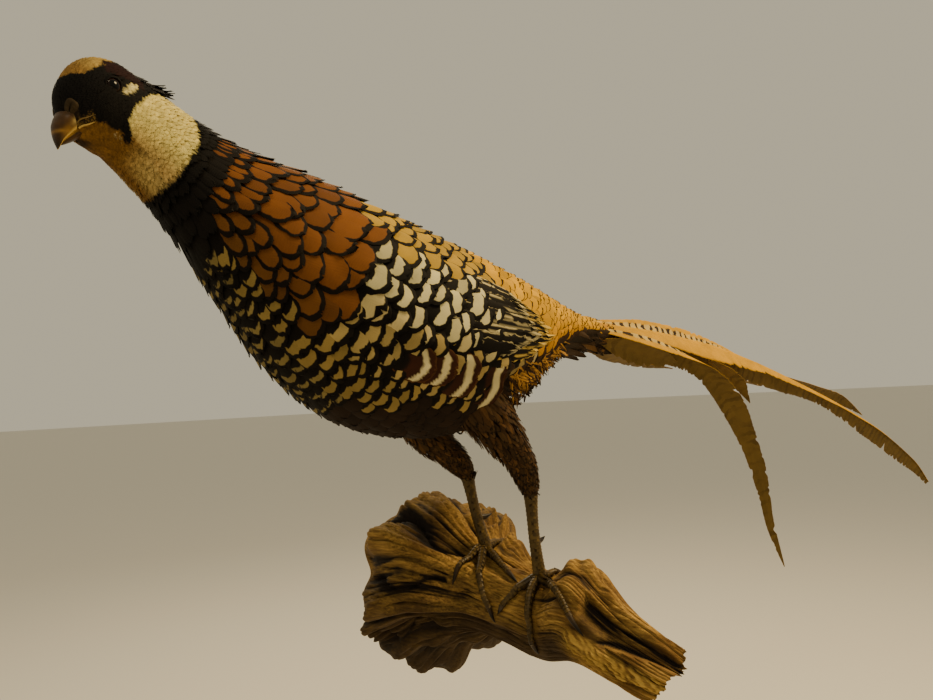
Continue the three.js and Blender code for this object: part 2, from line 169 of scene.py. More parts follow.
def mesh_piece(name, points, faces, material, *, replaces=(), uv=None, data=None):
    """Fills a mesh by foreach_set; uv maps and data attributes hold one row for each point."""
    points, faces = points.reshape(-1, 3), faces.reshape(-1, 4)
    mesh = bpy.data.meshes.new(name)
    mesh.vertices.add(len(points))
    mesh.vertices.foreach_set("co", points.astype(np.float32).ravel())
    mesh.loops.add(faces.size)
    mesh.loops.foreach_set("vertex_index", faces.astype(np.int32).ravel())
    mesh.polygons.add(len(faces))
    mesh.polygons.foreach_set("loop_start", np.arange(0, faces.size, 4, dtype=np.int32))
    mesh.polygons.foreach_set("use_smooth", np.ones(len(faces), bool))
    mesh.update(calc_edges=True)
    for key, values in (uv or {}).items():
        layer = mesh.uv_layers.new(name=key)
        rows = values.reshape(-1, 2)[faces.ravel()]
        layer.data.foreach_set("uv", rows.astype(np.float32).ravel())
    for key, values in (data or {}).items():
        values = np.asarray(values, np.float32).reshape(len(points), -1)
        kind, field = {1: ("FLOAT", "value"), 4: ("FLOAT_COLOR", "color")}[values.shape[1]]
        attribute = mesh.attributes.new(key, kind, "POINT")
        attribute.data.foreach_set(field, values.ravel())
    mesh.validate()
    mesh.materials.append(material)
    piece = bpy.data.objects.new(name, mesh)
    bpy.context.collection.objects.link(piece)
    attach(piece, "root")
    if replaces:
        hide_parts(*replaces)
    print(name, len(points), "points,", 2 * len(faces), "triangles")


def joined(parts):
    """Several (points, faces) pairs as one pair, each one's faces moved up past the last."""
    starts = np.cumsum([0] + [len(p) for p, _ in parts[:-1]])
    return (
        np.concatenate([p for p, _ in parts]),
        np.concatenate([f + start for (_, f), start in zip(parts, starts)]),
    )


def closed_loft(rings):
    """Rings of points as a closed body: a pole at each end, faces turned outward by the sign
    of the volume. A pole is a ring that has shrunk to the ring's middle."""
    rows, columns = rings.shape[:2]
    ends = [np.broadcast_to(rings[k].mean(0), rings[k].shape) for k in (0, -1)]
    nearly = [lerp(rings[k], end, 0.999) for k, end in zip((0, -1), ends)]
    whole = np.concatenate([nearly[0][None], rings, nearly[1][None]])
    points = whole.reshape(-1, 3)
    faces = grid_faces(rows + 2, columns, closed=True)
    a, b, c, d = (points[faces[:, k]] for k in range(4))
    volume = np.einsum("ij,ij->", a, np.cross(b, c)) + np.einsum("ij,ij->", a, np.cross(c, d))
    return points, faces[:, ::-1] if volume < 0 else faces


def with_poles(rows):
    """A row of values for each ring of a closed loft: each pole takes those of its end ring."""
    return np.concatenate([rows[:1], rows, rows[-1:]])


# %% [markdown]
# ## Materials
# Colours are written as they look on a screen, in sRGB, and Blender wants them linear, so one
# function turns them. Another adds a node with its settings and its links, and every material
# is made with these two.

# %% Colours and nodes
def linear(code):
    """sRGB hex to linear: below 0.04045 divided by 12.92, above it ((c + 0.055) / 1.055)^2.4."""
    srgb = np.array([(code >> shift & 255) / 255 for shift in (16, 8, 0)])
    rgb = np.where(srgb <= 0.04045, srgb / 12.92, ((srgb + 0.055) / 1.055) ** 2.4)
    return np.append(rgb, 1.0)


def add(tree, kind, inputs=None, **settings):
    """Adds a node, sets its properties, then sets or links each named or numbered input."""
    made = tree.nodes.new(kind)
    for key, value in settings.items():
        setattr(made, key, value)
    for key, value in (inputs or {}).items():
        if isinstance(value, bpy.types.NodeSocket):
            tree.links.new(value, made.inputs[key])
        else:
            made.inputs[key].default_value = value
    return made


def surface_material(name, roughness, **shader):
    """A material with its tree emptied down to one Principled shader, set by name."""
    material = bpy.data.materials.new(name)
    material.use_nodes = True
    tree = material.node_tree
    tree.nodes.clear()
    sockets = {"Roughness": roughness, **{key.replace("_", " "): v for key, v in shader.items()}}
    principled = add(tree, "ShaderNodeBsdfPrincipled", sockets)
    add(tree, "ShaderNodeOutputMaterial", {"Surface": principled.outputs[0]})
    return material, tree, principled


# %% [markdown]
# ### Feather
# A contour feather is a soft vane of barbs on a thin shaft. It hardly shines, and its barbs
# run out slantwise from the shaft. Most of this bird's feathers have a ground colour and a
# black rim, so each feather carries its ground, its rim colour and its rim's width in mm, and
# one material draws them all from the distance to the feather's own edge.

# %% The feather material
BARB_PITCH = 1.2  # mm, as coarse as barbs must be to show


def feather_material():
    """Ground or rim by the mm inside the rim, times a shade for the barbs and for dust."""
    material, tree, principled = surface_material(
        "barbed feather", 0.72, Specular_IOR_Level=0.12
    )
    place = add(tree, "ShaderNodeTexCoord").outputs["Object"]
    # mm inside the rim, less than nothing on the rim itself; a noise 4 mm wide makes it ragged.
    inside = add(tree, "ShaderNodeAttribute", attribute_name="Inside").outputs["Fac"]
    ragged = add(tree, "ShaderNodeTexNoise", {"Vector": place, "Scale": 260.0, "Detail": 2.0})
    wander = add(tree, "ShaderNodeMath", {0: ragged.outputs["Fac"], 1: 2.0, 2: inside},
                 operation="MULTIPLY_ADD")
    share = add(tree, "ShaderNodeMapRange", {"Value": wander.outputs[0], "From Min": 0.65,
                                             "From Max": 1.35}, interpolation_type="SMOOTHSTEP")
    edge = add(tree, "ShaderNodeAttribute", attribute_name="Edge").outputs["Color"]
    ground = add(tree, "ShaderNodeAttribute", attribute_name="Ground").outputs["Color"]
    colour = add(tree, "ShaderNodeMix", {0: share.outputs[0], 6: edge, 7: ground},
                 data_type="RGBA")
    # mm along the shaft less mm out from it, so that a line of equal value is a barb.
    along = add(tree, "ShaderNodeAttribute", attribute_name="Barb").outputs["Fac"]
    turns = add(tree, "ShaderNodeMath", {0: along, 1: 2 * math.pi / BARB_PITCH},
                operation="MULTIPLY")
    barbs = add(tree, "ShaderNodeMath", {0: turns.outputs[0]}, operation="SINE")
    shade = add(tree, "ShaderNodeMapRange", {"Value": barbs.outputs[0], "From Min": -1.0,
                                             "To Min": 0.84, "To Max": 1.0})
    dust = add(tree, "ShaderNodeTexNoise", {"Vector": place, "Scale": 45.0, "Detail": 3.0})
    dusty = add(tree, "ShaderNodeMapRange", {"Value": dust.outputs["Fac"], "From Min": 0.3,
                                             "From Max": 0.7, "To Min": 0.8, "To Max": 1.12})
    both = add(tree, "ShaderNodeMath", {0: shade.outputs[0], 1: dusty.outputs[0]},
               operation="MULTIPLY")
    tone = add(tree, "ShaderNodeCombineColor", dict.fromkeys(range(3), both.outputs[0]))
    final = add(tree, "ShaderNodeMix", {0: 1.0, 6: colour.outputs[2], 7: tone.outputs[0]},
                data_type="RGBA", blend_type="MULTIPLY")
    bump = add(tree, "ShaderNodeBump", {"Height": barbs.outputs[0], "Strength": 0.15,
                                        "Distance": 0.0005})
    tree.links.new(final.outputs[2], principled.inputs["Base Color"])
    tree.links.new(bump.outputs[0], principled.inputs["Normal"])
    return material


FEATHER = feather_material()

# %% [markdown]
# ## Markings
# The mask, the white crown, the collar and the scaled mantle are areas on the same map of
# station and angle that the coat is drawn on. Skin and feathers ask the same function which
# area they are in, so that nothing shows through in the wrong colour.

# %% Areas of the plumage
# Ground, rim, rim width in mm, and the share of the length below which the rim colour returns.
LOOKS = {
    "mask": (0x0E0B08, 0x080605, 0.3, 0.0), "crown": (0xB09450, 0xB39F6C, 0.2, 0.0),
    "spot": (0xE0D290, 0xCDBF93, 0.2, 0.0), "collar": (0xDCCB78, 0xD6C690, 0.2, 0.0),
    # The throat's ground is white feathers drawn darker and browner: partly dirt, partly painted
    # shade.
    "throat": (0x7C5822, 0x6B4A26, 0.3, 0.0), "gorget": (0x0E0A07, 0x080604, 0.8, 0.0),
    "mantle": (0x74451A, 0x0E0804, 2.9, 0.0), "back": (0xB08E30, 0x0E0905, 3.3, 0.58),
    "covert": (0xD0C694, 0x0C0805, 3.6, 0.70), "flank": (0xA48E56, 0x0E0905, 3.2, 0.72),
    "breast": (0x8C7640, 0x0C0704, 2.7, 0.72), "belly": (0x20140B, 0x140C07, 1.0, 0.0),
    "rump": (0xCC9A08, 0x3C2406, 1.2, 0.0), "vent": (0x332110, 0x20140A, 0.8, 0.0),
    "lore": (0x2A2014, 0x1E160D, 0.3, 0.0), "speck": (0x7E6E40, 0x0C0704, 3.0, 0.78),
    "brow": (0x220D0B, 0x100605, 0.3, 0.0), "drop": (0xB8A478, 0x7A6A40, 0.2, 0.0),
}
AREA = {name: number for number, name in enumerate(LOOKS)}
PLUSH_AREAS = ["crown", "spot", "collar", "throat", "brow"]


def area_of(t, degrees):
    """Which area a place is in. Each border is a broken line of (degrees, station) pairs, or
    of (station, degrees) pairs along the bird, and later rules win over earlier ones."""
    t, a = np.broadcast_arrays(np.asarray(t, float), np.abs(np.asarray(degrees, float)))
    a = np.where(a > 180, 360 - a, a)
    collar_front = np.interp(a, [0, 25, 30, 42, 55, 70, 78, 88, 100, 110, 119, 124, 180],
                             [7.3, 7.2, 7.0, 6.6, 6.3, 6.0, 5.9, 5.6, 5.5, 5.35, 5.6, 6.0, 6.0])
    collar_back = np.interp(a, [35, 50, 60, 72, 90, 120, 150, 180],
                            [8.45, 8.7, 8.85, 9.0, 9.07, 9.1, 9.03, 9.0])
    gorget_back = np.interp(a, [0, 40, 60, 90, 105, 125, 150, 180],
                            [9.4, 9.6, 9.75, 9.85, 10.05, 10.15, 10.3, 10.6])
    throat_top = np.interp(t, [0, 1, 2.5, 3.5, 4.5, 5, 6, 7, 8, 9],
                           [112, 118, 119, 123, 128, 128, 124, 128, 134, 138])
    crown_front = np.interp(a, [0, 20, 30, 40, 50], [2.1, 2.2, 2.45, 2.65, 2.95])
    crown_back = np.interp(a, [0, 15, 20, 30, 40, 48, 51], [4.95, 4.95, 4.85, 4.6, 4.3, 3.8, 3.1])
    covert_top = np.interp(t, [12.1, 13, 14, 14.6, 15.3], [66, 66, 62, 70, 84])
    area = np.full(t.shape, AREA["mask"])

    def mark(name, where):
        """Gives the places that are true in where to the area."""
        area[where] = AREA[name]

    mark("lore", ((t < 1.3) & (a > 62)) | ((t < 2.6) & (a > 101)))
    mark("crown", (a < 51) & (t > crown_front) & (t < crown_back))
    mark("brow", (t > 4.2) & (t < 6.0) & (a > 30) & (a < 58))
    mark("throat", (t < 9.5) & (a > throat_top))
    mark("mask", ((t - 5.55) / 0.42) ** 2 + ((a - 130) / 6.0) ** 2 < 1)
    mark("drop", ((t - 4.66) / 0.15) ** 2 + ((a - 135.0) / 2.8) ** 2 < 1)
    mark("drop", ((t - 5.12) / 0.12) ** 2 + ((a - 136.0) / 2.6) ** 2 < 1)
    mark("collar", (t > collar_front) & (a <= throat_top))
    spot = ((t - 5.34 + 0.024 * (a - 68)) / 0.19) ** 2 + ((a - 68) / 12.0) ** 2
    mark("spot", spot < 1)
    mark("gorget", t > collar_back)
    mark("mantle", (t > gorget_back) & (a < 144))
    mark("breast", (t > gorget_back) & (a >= np.interp(t, [10.3, 11, 12], [142, 138, 130])))
    mark("speck", (t > gorget_back) & (a >= 154))
    mark("back", (t > 12.1) & (a < covert_top))
    mark("covert", (t > 12.15) & (a >= covert_top) & (a < 106))
    mark("flank", (t > 12.05) & (a >= 104) & (a < 130))
    mark("breast", (t > 12.05) & (a >= 132) & (a < 152))
    mark("belly", (t > 12.7) & (a >= 150))
    mark("belly", (t > 13.2) & (a >= 136))
    rump_front = np.interp(a, [0, 40, 62, 80, 100], [13.7, 14.0, 14.2, 14.6, 14.9])
    mark("rump", (t > rump_front) & (a < 102))
    mark("vent", (t > 14.25) & (a >= np.interp(t, [14.3, 15, 16, 18], [108, 104, 100, 94])))
    return area


def looks_at(t, degrees):
    """Ground colour, rim colour, rim width and patch at each place, with the slow changes
    inside an area: the crown pales backward, the throat pales towards the collar, is blotched
    and darkens at the chin, and the mantle darkens towards the breast."""
    t, degrees = np.broadcast_arrays(np.asarray(t, float), np.asarray(degrees, float))
    degrees = from_back(np.radians(degrees))
    area = area_of(t, degrees)
    rows = list(LOOKS.values())
    ground = np.array([linear(row[0]) for row in rows])[area]
    edge = np.array([linear(row[1]) for row in rows])[area]
    rim, patch = (np.array([row[k] for row in rows])[area] for k in (2, 3))

    def blend(name, code, share):
        """Ground moved towards a colour by a share, inside one area only."""
        share = np.where(area == AREA[name], share, 0.0)[..., None]
        return ground * (1 - share) + linear(code) * share

    ground = blend("crown", 0x9A7438, 1 - smooth(t, 2.7, 3.9))
    ground = blend("throat", 0xC9AE6C, 0.9 * smooth(t, 5.6, 8.2) * (1 - smooth(degrees, 150, 178)))
    blotch = np.sin(7 * t + 0.16 * degrees) * np.sin(5 * t - 0.27 * degrees + 1)
    blotch = blotch + 0.4 * np.sin(19 * t)
    ground = blend("throat", 0x46300F, 0.55 * smooth(blotch, 0.1, 0.9))
    # The chin's underside darkens: partly dark feathers, partly painted shade.
    ground = blend("throat", 0x1E1309, 0.9 * (1 - smooth(t, 1.2, 3.6)) * smooth(degrees, 146, 170))
    ground = blend("crown", 0x8C6A30, 0.5 * smooth(blotch, 0.0, 0.8))
    ground = blend("lore", 0x6E5628, smooth(degrees, 94, 104))
    # The collar's lower front is browner: partly dirt, partly painted shade.
    ground = blend("collar", 0xB7935A, 0.8 * smooth(degrees, 92, 132) * smooth(t, 5.2, 6.0))
    ground = blend("mantle", 0x4A3616, 0.75 * smooth(degrees, 98, 148))
    ground = blend("mantle", 0xA87830, 0.5 * (1 - smooth(degrees, 0, 45)))
    ground = blend("covert", 0xB49858, 0.7 * smooth(degrees, 92, 106))
    ground = blend("rump", 0x9A6408, 0.6 * smooth(degrees, 60, 100))
    ground = blend("back", 0x8A6A28, 0.5 * (1 - smooth(degrees, 0, 30)))
    # On the head and neck a feather's edge is only a shade darker than the feather.
    plush = ((t < 9.2) & np.isin(area, [AREA[x] for x in PLUSH_AREAS]))[..., None]
    edge = np.where(plush, ground * 0.86, edge)
    return ground, edge, rim, patch


for name in ("mask", "collar", "mantle", "covert"):
    t, a = np.meshgrid(np.linspace(0, 18, 181), np.arange(0, 181, 2), indexing="ij")
    print(name, "covers", round(100 * float((area_of(t, a) == AREA[name]).mean())), "% of the map")

# %% [markdown]
# ## The root's and the legs' surfaces
# The toes grip the root, so the root's own formula places them. The skin then runs without a
# seam from the body to the toes.

# %% The root as a surface
ROOT_LENGTH = 288.0
# y, middle x and z, half width and half height, in mm, from the wall outward.
ROOT = np.array([
    [0, 6, -14, 88, 74], [-35, 6, -5, 104, 77], [-70, -4, 4, 84, 59], [-105, -14, 0, 50, 40],
    [-140, -16, -8, 38, 35], [-180, -20, -14, 35, 34], [-215, -27, -4, 37, 38],
    [-250, -36, -18, 31, 27], [-288, -42, -31, 26, 19],
])


def root_surface(y, degrees, grow=0.0):
    """A ring about (x, z) at each y: wide * sin to the side and tall * cos up, times a swell of
    a few sines for lumps and ridges; 0 degrees is the top and 90 is towards -X."""
    y, degrees = np.broadcast_arrays(np.asarray(y, float), np.asarray(degrees, float))
    place = np.interp(-y, -ROOT[:, 0], np.arange(len(ROOT)))
    row = through(ROOT, place)
    angle = np.radians(degrees)
    crown = 1 - smooth(-y, 60, 120)
    lumps = 0.09 * np.cos(2 * (angle - math.radians(38))) + 0.05 * np.sin(5 * angle - 1.4 - y / 45)
    ridges = 0.035 * np.sin(9 * angle + y / 70) + 0.025 * np.sin(14 * angle - y / 110 + 1)
    swell = 1 + crown * lumps + ridges * (0.6 + 0.4 * crown)
    size = swell * np.maximum(abs(np.cos(angle)), abs(np.sin(angle))) ** -0.28
    return np.stack([
        row[..., 1] - np.sin(angle) * (row[..., 3] * size + grow), y,
        row[..., 2] + np.cos(angle) * (row[..., 4] * size + grow),
    ], -1)


# %% The legs' middle lines
LEGS = {
    "left": dict(side=-1, joints=[[-98, 34, 180], [-66, 36, 143], [-47, 34, 121], [-36, 32, 97]],
                 foot=[-38, 32, 20], perch=20),
    "right": dict(side=1, joints=[[-118, 34, 184], [-90, 36, 147], [-66, 34, 126], [-53, 32, 111]],
                  foot=[-44, 32, 42], perch=14),
}
# How far each toe turns down round the root, in degrees, and strays towards the wall, in mm.
TOES = {
    "left": {"hind": (-30, -3), "inner": (54, 25), "middle": (86, -6), "outer": (50, -52)},
    "right": {"hind": (-32, 4), "inner": (18, -34), "middle": (70, -24), "outer": (38, 6)},
}
# Radii along each path, all in mm.
THIGH_RADII = [24, 20, 14.5, 12, 8.2]
SHANK_RADII = [6.2, 4.8, 4.8, 5.6]
TOE_RADII = [4.3, 4.3, 3.6, 2.8, 2.6]
CLAW_LENGTH, CLAW_RADIUS = 12.0, 2.1
GRIP_RADIUS = 33.0  # of the wood under the toes
CLEARANCE = 0.35  # between the toes' full radius and the wood


def tube(path, radii, s, angle, upright, depth=1.0, grow=0.0):
    """Carries a ring along a path: point + radius * (cos * up + sin * aside). Up is upright
    made square to the path, so the ring never twists. s runs from 0 to 1."""
    path, radii = np.asarray(path, float), np.asarray(radii, float)
    s, angle = np.broadcast_arrays(np.asarray(s, float), np.asarray(angle, float))
    place = s * (len(path) - 1)
    along = unit(through(path, place + 0.01) - through(path, place - 0.01))
    upright = np.broadcast_to(upright, along.shape)
    up = unit(upright - (upright * along).sum(-1, keepdims=True) * along)
    aside = np.cross(along, up)
    radius = (through(radii, s * (len(radii) - 1)) + grow)[..., None]
    cosine, sine = np.cos(angle)[..., None], np.sin(angle)[..., None]
    return through(path, place) + radius * (cosine * up * depth + sine * aside)


def leg_lines(name):
    """Thigh joints, shank points and toe paths of one leg, in bird mm."""
    leg = LEGS[name]
    flip = np.array([1, leg["side"], 1])
    joints = np.array(leg["joints"]) * flip
    hock = joints[-1]
    foot_y = (to_part(np.array(leg["foot"]) * flip) / MM)[1]
    sole = to_bird(root_surface(foot_y, leg["perch"], TOE_RADII[0]))
    down = unit(sole - hock)
    middle = lerp(hock + down * 0.3, sole, 0.5) + [-1.5, 0, 0]
    w = np.linspace(0, 1, 9)
    toes, claws, upright = {}, {}, {}
    for toe, (turn, stray) in TOES[name].items():
        lift = lerp(TOE_RADII[0], TOE_RADII[-1], w) + CLEARANCE
        toes[toe] = to_bird(root_surface(foot_y + stray * w, leg["perch"] + turn * w, lift))
        reach = CLAW_LENGTH / math.hypot(math.radians(turn) * GRIP_RADIUS, stray)
        w2 = lerp(0.97, 1 + reach, np.linspace(0, 1, 7))
        sink = lerp(TOE_RADII[-1], CLAW_RADIUS * 0.2, np.linspace(0, 1, 7) ** 1.6) + CLEARANCE
        claws[toe] = to_bird(root_surface(foot_y + stray * w2, leg["perch"] + turn * w2, sink))
        under = to_bird(root_surface(foot_y + stray * 0.5, leg["perch"] + turn * 0.5, 0.0))
        upright[toe] = unit(toes[toe][4] - under)
    return dict(joints=joints, shank=np.array([hock, middle, sole]), toes=toes, claws=claws,
                upright=upright)


LINES = {name: leg_lines(name) for name in LEGS}
print("left foot stands at", LINES["left"]["shank"][-1].round(1))

# %% [markdown]
# ## The closed wings
# A closed wing is a flat pad that lies along the flank, free at its lower edge and its end. It
# is added to the coat's formula as a height, so the skin, the small feathers and the flight
# feathers all follow it.

# %% The wings as a swell of the coat
WING_FROM, WING_TO = 11.5, 15.1  # stations
WING_HALF = 33.0  # half of its breadth, in degrees


def wing_shape(t, degrees, free):
    """How far the closed wing stands off the body, in mm. A free edge keeps its height beyond
    the outline, so that feathers reach over it; otherwise the height falls to nothing."""
    u = np.clip((t - WING_FROM) / (WING_TO - WING_FROM), 0, 1)
    middle = lerp(72.0, 92.0, u)
    spread = WING_HALF * np.sin(math.pi * lerp(0.12, 0.94, u)) ** 0.6
    across = (from_back(degrees * math.pi / 180) - middle) / spread
    held = np.clip(across, -1, 0.8 if free else 1)
    body = 5.5 * np.sqrt(np.maximum(1 - held ** 2, 0)) * np.sin(math.pi * lerp(0.1, 0.96, u))
    off = 1.5 + 6.5 * smooth(u, 0.45, 1)
    fade = smooth(across, -1.15, -0.5) * smooth(t, 11.3, 12.4)
    if not free:
        fade = fade * (1 - smooth(across, 0.75, 1.0)) * (1 - smooth(t, 14.3, 15.1))
    return (body + off) * fade


def plumage(t, a, grow):
    """The coat with the wings' swell."""
    return coat(t, a, grow + wing_shape(t, np.degrees(a), free=False))


def wing_coat(t, a, grow):
    """The same for the wing's own feathers, which reach over its free edge."""
    return coat(t, a, grow + wing_shape(t, np.degrees(a), free=True))


# %% [markdown]
# ## Skin
# The skin lies inside the coat by the depth of the feathers: a millimetre or two on the face,
# seven on the trunk. It shows only round the eye, on the legs and on the toes, but wherever two
# feathers part it must have the colour of those feathers.

# %% Depth of the coat and the skin's mesh
def depth_of(t):
    """Coat depth in mm by station."""
    return np.interp(t, [0, 2, 6, 8, 10, 12, 16, 19], [0.7, 1.2, 2.2, 3.4, 5.5, 7.5, 6.0, 3.0])


EYE = np.array([-364.0, 13.7, 375.0])
EYE_RADIUS = 5.8
LID_OPEN = (4.9, 4.1)  # half of the opening, along the head and across it


def eye_axes(side):
    """Centre of the ball, then the way out, the way to the bill and the way up, in bird mm."""
    towards = [[0, 0, 0], [-0.16, side, 0.05], [-0.72, 0, -0.69], [-0.69, 0, 0.72]]
    centre = turned(EYE * [1, side, 1], 0.0)
    tips = turned(EYE * [1, side, 1] + np.array(towards), np.zeros(4)) - centre
    return centre, unit(tips[1]), unit(tips[2]), unit(tips[3])


def lid(side, turn, s):
    """A fold of skin round the ball: s runs from the wet edge over the rim and down into the
    face. Rings of the opening's oval times reach, at a height along the way out."""
    centre, out, front, up = eye_axes(side)
    reach = through([0.90, 0.97, 1.04, 1.12, 1.26, 1.55], s * 5)
    height = through([3.6, 4.3, 4.55, 4.4, 3.9, 2.4], s * 5) + 0.25 * np.sin(turn)
    ring = (LID_OPEN[0] * np.cos(turn)[..., None] * front
            + LID_OPEN[1] * np.sin(turn)[..., None] * up)
    wrinkle = 0.10 * np.sin(9 * turn + 6 * s) * np.sin(math.pi * s)
    return centre + reach[..., None] * ring + (height + wrinkle)[..., None] * out


def paired(s, angle):
    """Two grids, with s down the rows and the angle across the columns."""
    return np.meshgrid(s, angle, indexing="ij")


def circle(count):
    """Evenly spaced angles once round, in radians."""
    return np.linspace(0, 2 * math.pi, count, endpoint=False)


def make_skin():
    """One mesh: head and trunk, then the thigh, shank, toes and eyelid of each side."""
    parts, tints, charts = [], [], []

    def take(grid, tint, chart, closed=True):
        """Adds a grid of points with a colour for each and a box of the unwrap to lie in."""
        rows, columns = grid.shape[:2]
        if closed:
            points, faces = closed_loft(grid)
            tint = with_poles(tint)
            rows += 2
        else:
            points, faces = grid.reshape(-1, 3), grid_faces(rows, columns)
        parts.append((points, faces))
        tints.append(tint.reshape(-1, 4))
        r, c = np.meshgrid(np.linspace(0, 1, rows), np.linspace(0, 1, columns), indexing="ij")
        charts.append(np.stack([lerp(chart[0], chart[2], r), lerp(chart[1], chart[3], c)], -1))

    stations = np.concatenate([np.linspace(0.02, 7, 80), np.linspace(7.1, 18.2, 90)])
    t, a = paired(stations, circle(96))
    ground, edge, _, _ = looks_at(t, np.degrees(a))
    hidden = ground * 0.55 + edge * 0.45
    take(plumage(t, a, -depth_of(t)), hidden, (0, 0, 1, 0.5))
    leg, lid_tint = linear(0x33291A), linear(0x080504)
    for k, (name, line) in enumerate(LINES.items()):
        left = 0.5 * k
        s, a = paired(np.linspace(0, 1, 20), circle(20))
        radii = np.array(THIGH_RADII) - [5, 5, 4, 3.5, 2.2]
        tint = np.broadcast_to(linear(LOOKS["belly"][0]), (20, 20, 4))
        take(tube(line["joints"], radii, s, a, (1, 0, 0)), tint, (left, 0.55, left + 0.2, 0.7))
        s, a = paired(np.linspace(-0.02, 1, 60), circle(28))
        tint = np.broadcast_to(leg, (60, 28, 4))
        radii = np.array(SHANK_RADII) - 0.5
        take(tube(line["shank"], radii, s, a, (-1, 0, 0), depth=1.1), tint,
             (left, 0.72, left + 0.4, 0.85))
        for j, (toe, path) in enumerate(line["toes"].items()):
            s, a = paired(np.linspace(-0.04, 1, 40), circle(18))
            pads = 1 + 0.10 * np.cos(s * 2 * math.pi * 3)[..., None] * (np.cos(a) < 0)[..., None]
            points = tube(path, np.array(TOE_RADII) - 0.35, s, a, line["upright"][toe])
            middle = points.mean(1, keepdims=True)
            take(middle + (points - middle) * pads, np.broadcast_to(leg, (40, 18, 4)),
                 (left + 0.1 * j, 0.87, left + 0.1 * j + 0.09, 0.92))
        a, s = paired(circle(48), np.linspace(0, 1, 12))
        side = LEGS[name]["side"]
        grid = lid(side, a, s)
        grid = np.concatenate([grid, grid[:1]])
        if side > 0:
            grid = grid[::-1]
        tint = np.broadcast_to(lid_tint, grid.shape[:2] + (4,))
        take(grid, tint, (left + 0.2, 0.94, left + 0.4, 0.99), closed=False)
    points, faces = joined(parts)
    return points, faces, np.concatenate(tints), np.concatenate([c.reshape(-1, 2) for c in charts])


def skin_material():
    """Dried bird skin: leathery, close to matt, with fine cracks about 1 mm apart."""
    material, tree, principled = surface_material("dried skin", 0.7, Specular_IOR_Level=0.08)
    tint = add(tree, "ShaderNodeAttribute", attribute_name="Tint").outputs["Color"]
    place = add(tree, "ShaderNodeTexCoord").outputs["Object"]
    mottle = add(tree, "ShaderNodeTexNoise", {"Vector": place, "Scale": 220.0, "Detail": 4.0})
    ramp = add(tree, "ShaderNodeMapRange", {"Value": mottle.outputs["Fac"], "From Min": 0.3,
                                            "From Max": 0.7, "To Min": 0.6, "To Max": 1.35})
    tone = add(tree, "ShaderNodeCombineColor", dict.fromkeys(range(3), ramp.outputs[0]))
    mixed = add(tree, "ShaderNodeMix", {0: 1.0, 6: tint, 7: tone.outputs[0]},
                data_type="RGBA", blend_type="MULTIPLY")
    cracks = add(tree, "ShaderNodeTexVoronoi", {"Vector": place, "Scale": 900.0})
    bump = add(tree, "ShaderNodeBump", {"Height": cracks.outputs["Distance"], "Strength": 0.25,
                                        "Distance": 0.0004})
    tree.links.new(mixed.outputs[2], principled.inputs["Base Color"])
    tree.links.new(bump.outputs[0], principled.inputs["Normal"])
    return material


SKIN = skin_material()
points, faces, tint, chart = make_skin()
flesh = ["head", "neck", "trunk", "rump"] + [
    f"{part}_{side}" for side in LEGS for part in ("thigh", "shank", "foot")]
mesh_piece("skin", to_part(points), faces, SKIN, replaces=flesh,
           uv={"OFBake": chart}, data={"Tint": tint})

# %% [markdown]
# ## Eyes
# A taxidermist's eye is a glass ball with a painted iris behind a clear front. This one is
# so dark that little but its highlights shows. The pupil and iris are rings about the way
# out, so each point of the ball carries its share of the way from the front to the back.

# %% Glass eyes
def eye_material():
    """Black pupil, brown iris and black rim, by the way back from the front of the ball."""
    material, tree, principled = surface_material(
        "painted glass eye", 0.06, Specular_IOR_Level=0.18)
    polar = add(tree, "ShaderNodeAttribute", attribute_name="Polar").outputs["Fac"]
    ramp = add(tree, "ShaderNodeValToRGB", {0: polar})
    stops = [(0.0, 0x020202), (0.145, 0x020202), (0.165, 0x160A05), (0.27, 0x1E0E07),
             (0.31, 0x120907), (1.0, 0x0A0605)]
    for _ in stops[2:]:
        ramp.color_ramp.elements.new(0.5)
    for element, (position, code) in zip(ramp.color_ramp.elements, stops):
        element.position, element.color = position, linear(code)
    tree.links.new(ramp.outputs[0], principled.inputs["Base Color"])
    return material


EYE_GLASS = eye_material()
for side, name in ((-1, "eye_left"), (1, "eye_right")):
    centre, out, front, up = eye_axes(side)
    polar, turn = paired(np.linspace(0.01, math.pi - 0.01, 28), circle(40))
    ring = np.cos(turn)[..., None] * front + np.sin(turn)[..., None] * up
    ball = centre + EYE_RADIUS * (np.cos(polar)[..., None] * out + np.sin(polar)[..., None] * ring)
    points, faces = closed_loft(ball)
    mesh_piece(name, to_part(points), faces, EYE_GLASS, replaces=[name],
               data={"Polar": with_poles(polar) / math.pi})

# %% [markdown]
# ## Bill
# Each half of the bill is a horn sheath: the upper one is arched and hooks over the lower. It
# is a loft of ovals between an upper and a lower outline. A scaly flap swells over the
# nostril, and the cutting edge runs back under the eye as a pale lip.

# %% Upper and lower bill
BILL = {
    "bill_upper": dict(
        upper=[[-389.4, 355.8], [-391.6, 348.6], [-391.2, 341], [-389.3, 334.8]],
        lower=[[-375, 351.8], [-381.2, 345.6], [-386.2, 339.9], [-388.8, 334]],
        halves=[10.4, 8.4, 4.6, 0.9]),
    "bill_lower": dict(
        upper=[[-375.2, 352.4], [-381.4, 346.4], [-386.2, 340.8], [-388, 338]],
        lower=[[-376.2, 344.4], [-380.2, 341.2], [-384.5, 338.4], [-387.4, 336.8]],
        halves=[8.2, 6.9, 4.1, 1.0]),
}


def bill_half(shape, u, turn, seam):
    """Ovals between two outlines: the way up is half their difference times cos, sideways is
    the half width times sin, whose power 0.4 makes the side next to the seam full and square."""
    upper, lower = through(shape["upper"], u * 3), through(shape["lower"], u * 3)
    half = through(shape["halves"], u * 3)
    up = (upper - lower) / 2
    cosine, sine = np.cos(turn), np.sin(turn)
    middle = (upper + lower) / 2 + up * cosine[..., None]
    square = np.sign(sine) * abs(sine) ** np.where(cosine * seam > 0, 0.4, 1.0)
    width = half * square
    return turned(np.stack([middle[..., 0], -width, middle[..., 1]], -1), np.zeros(u.shape))


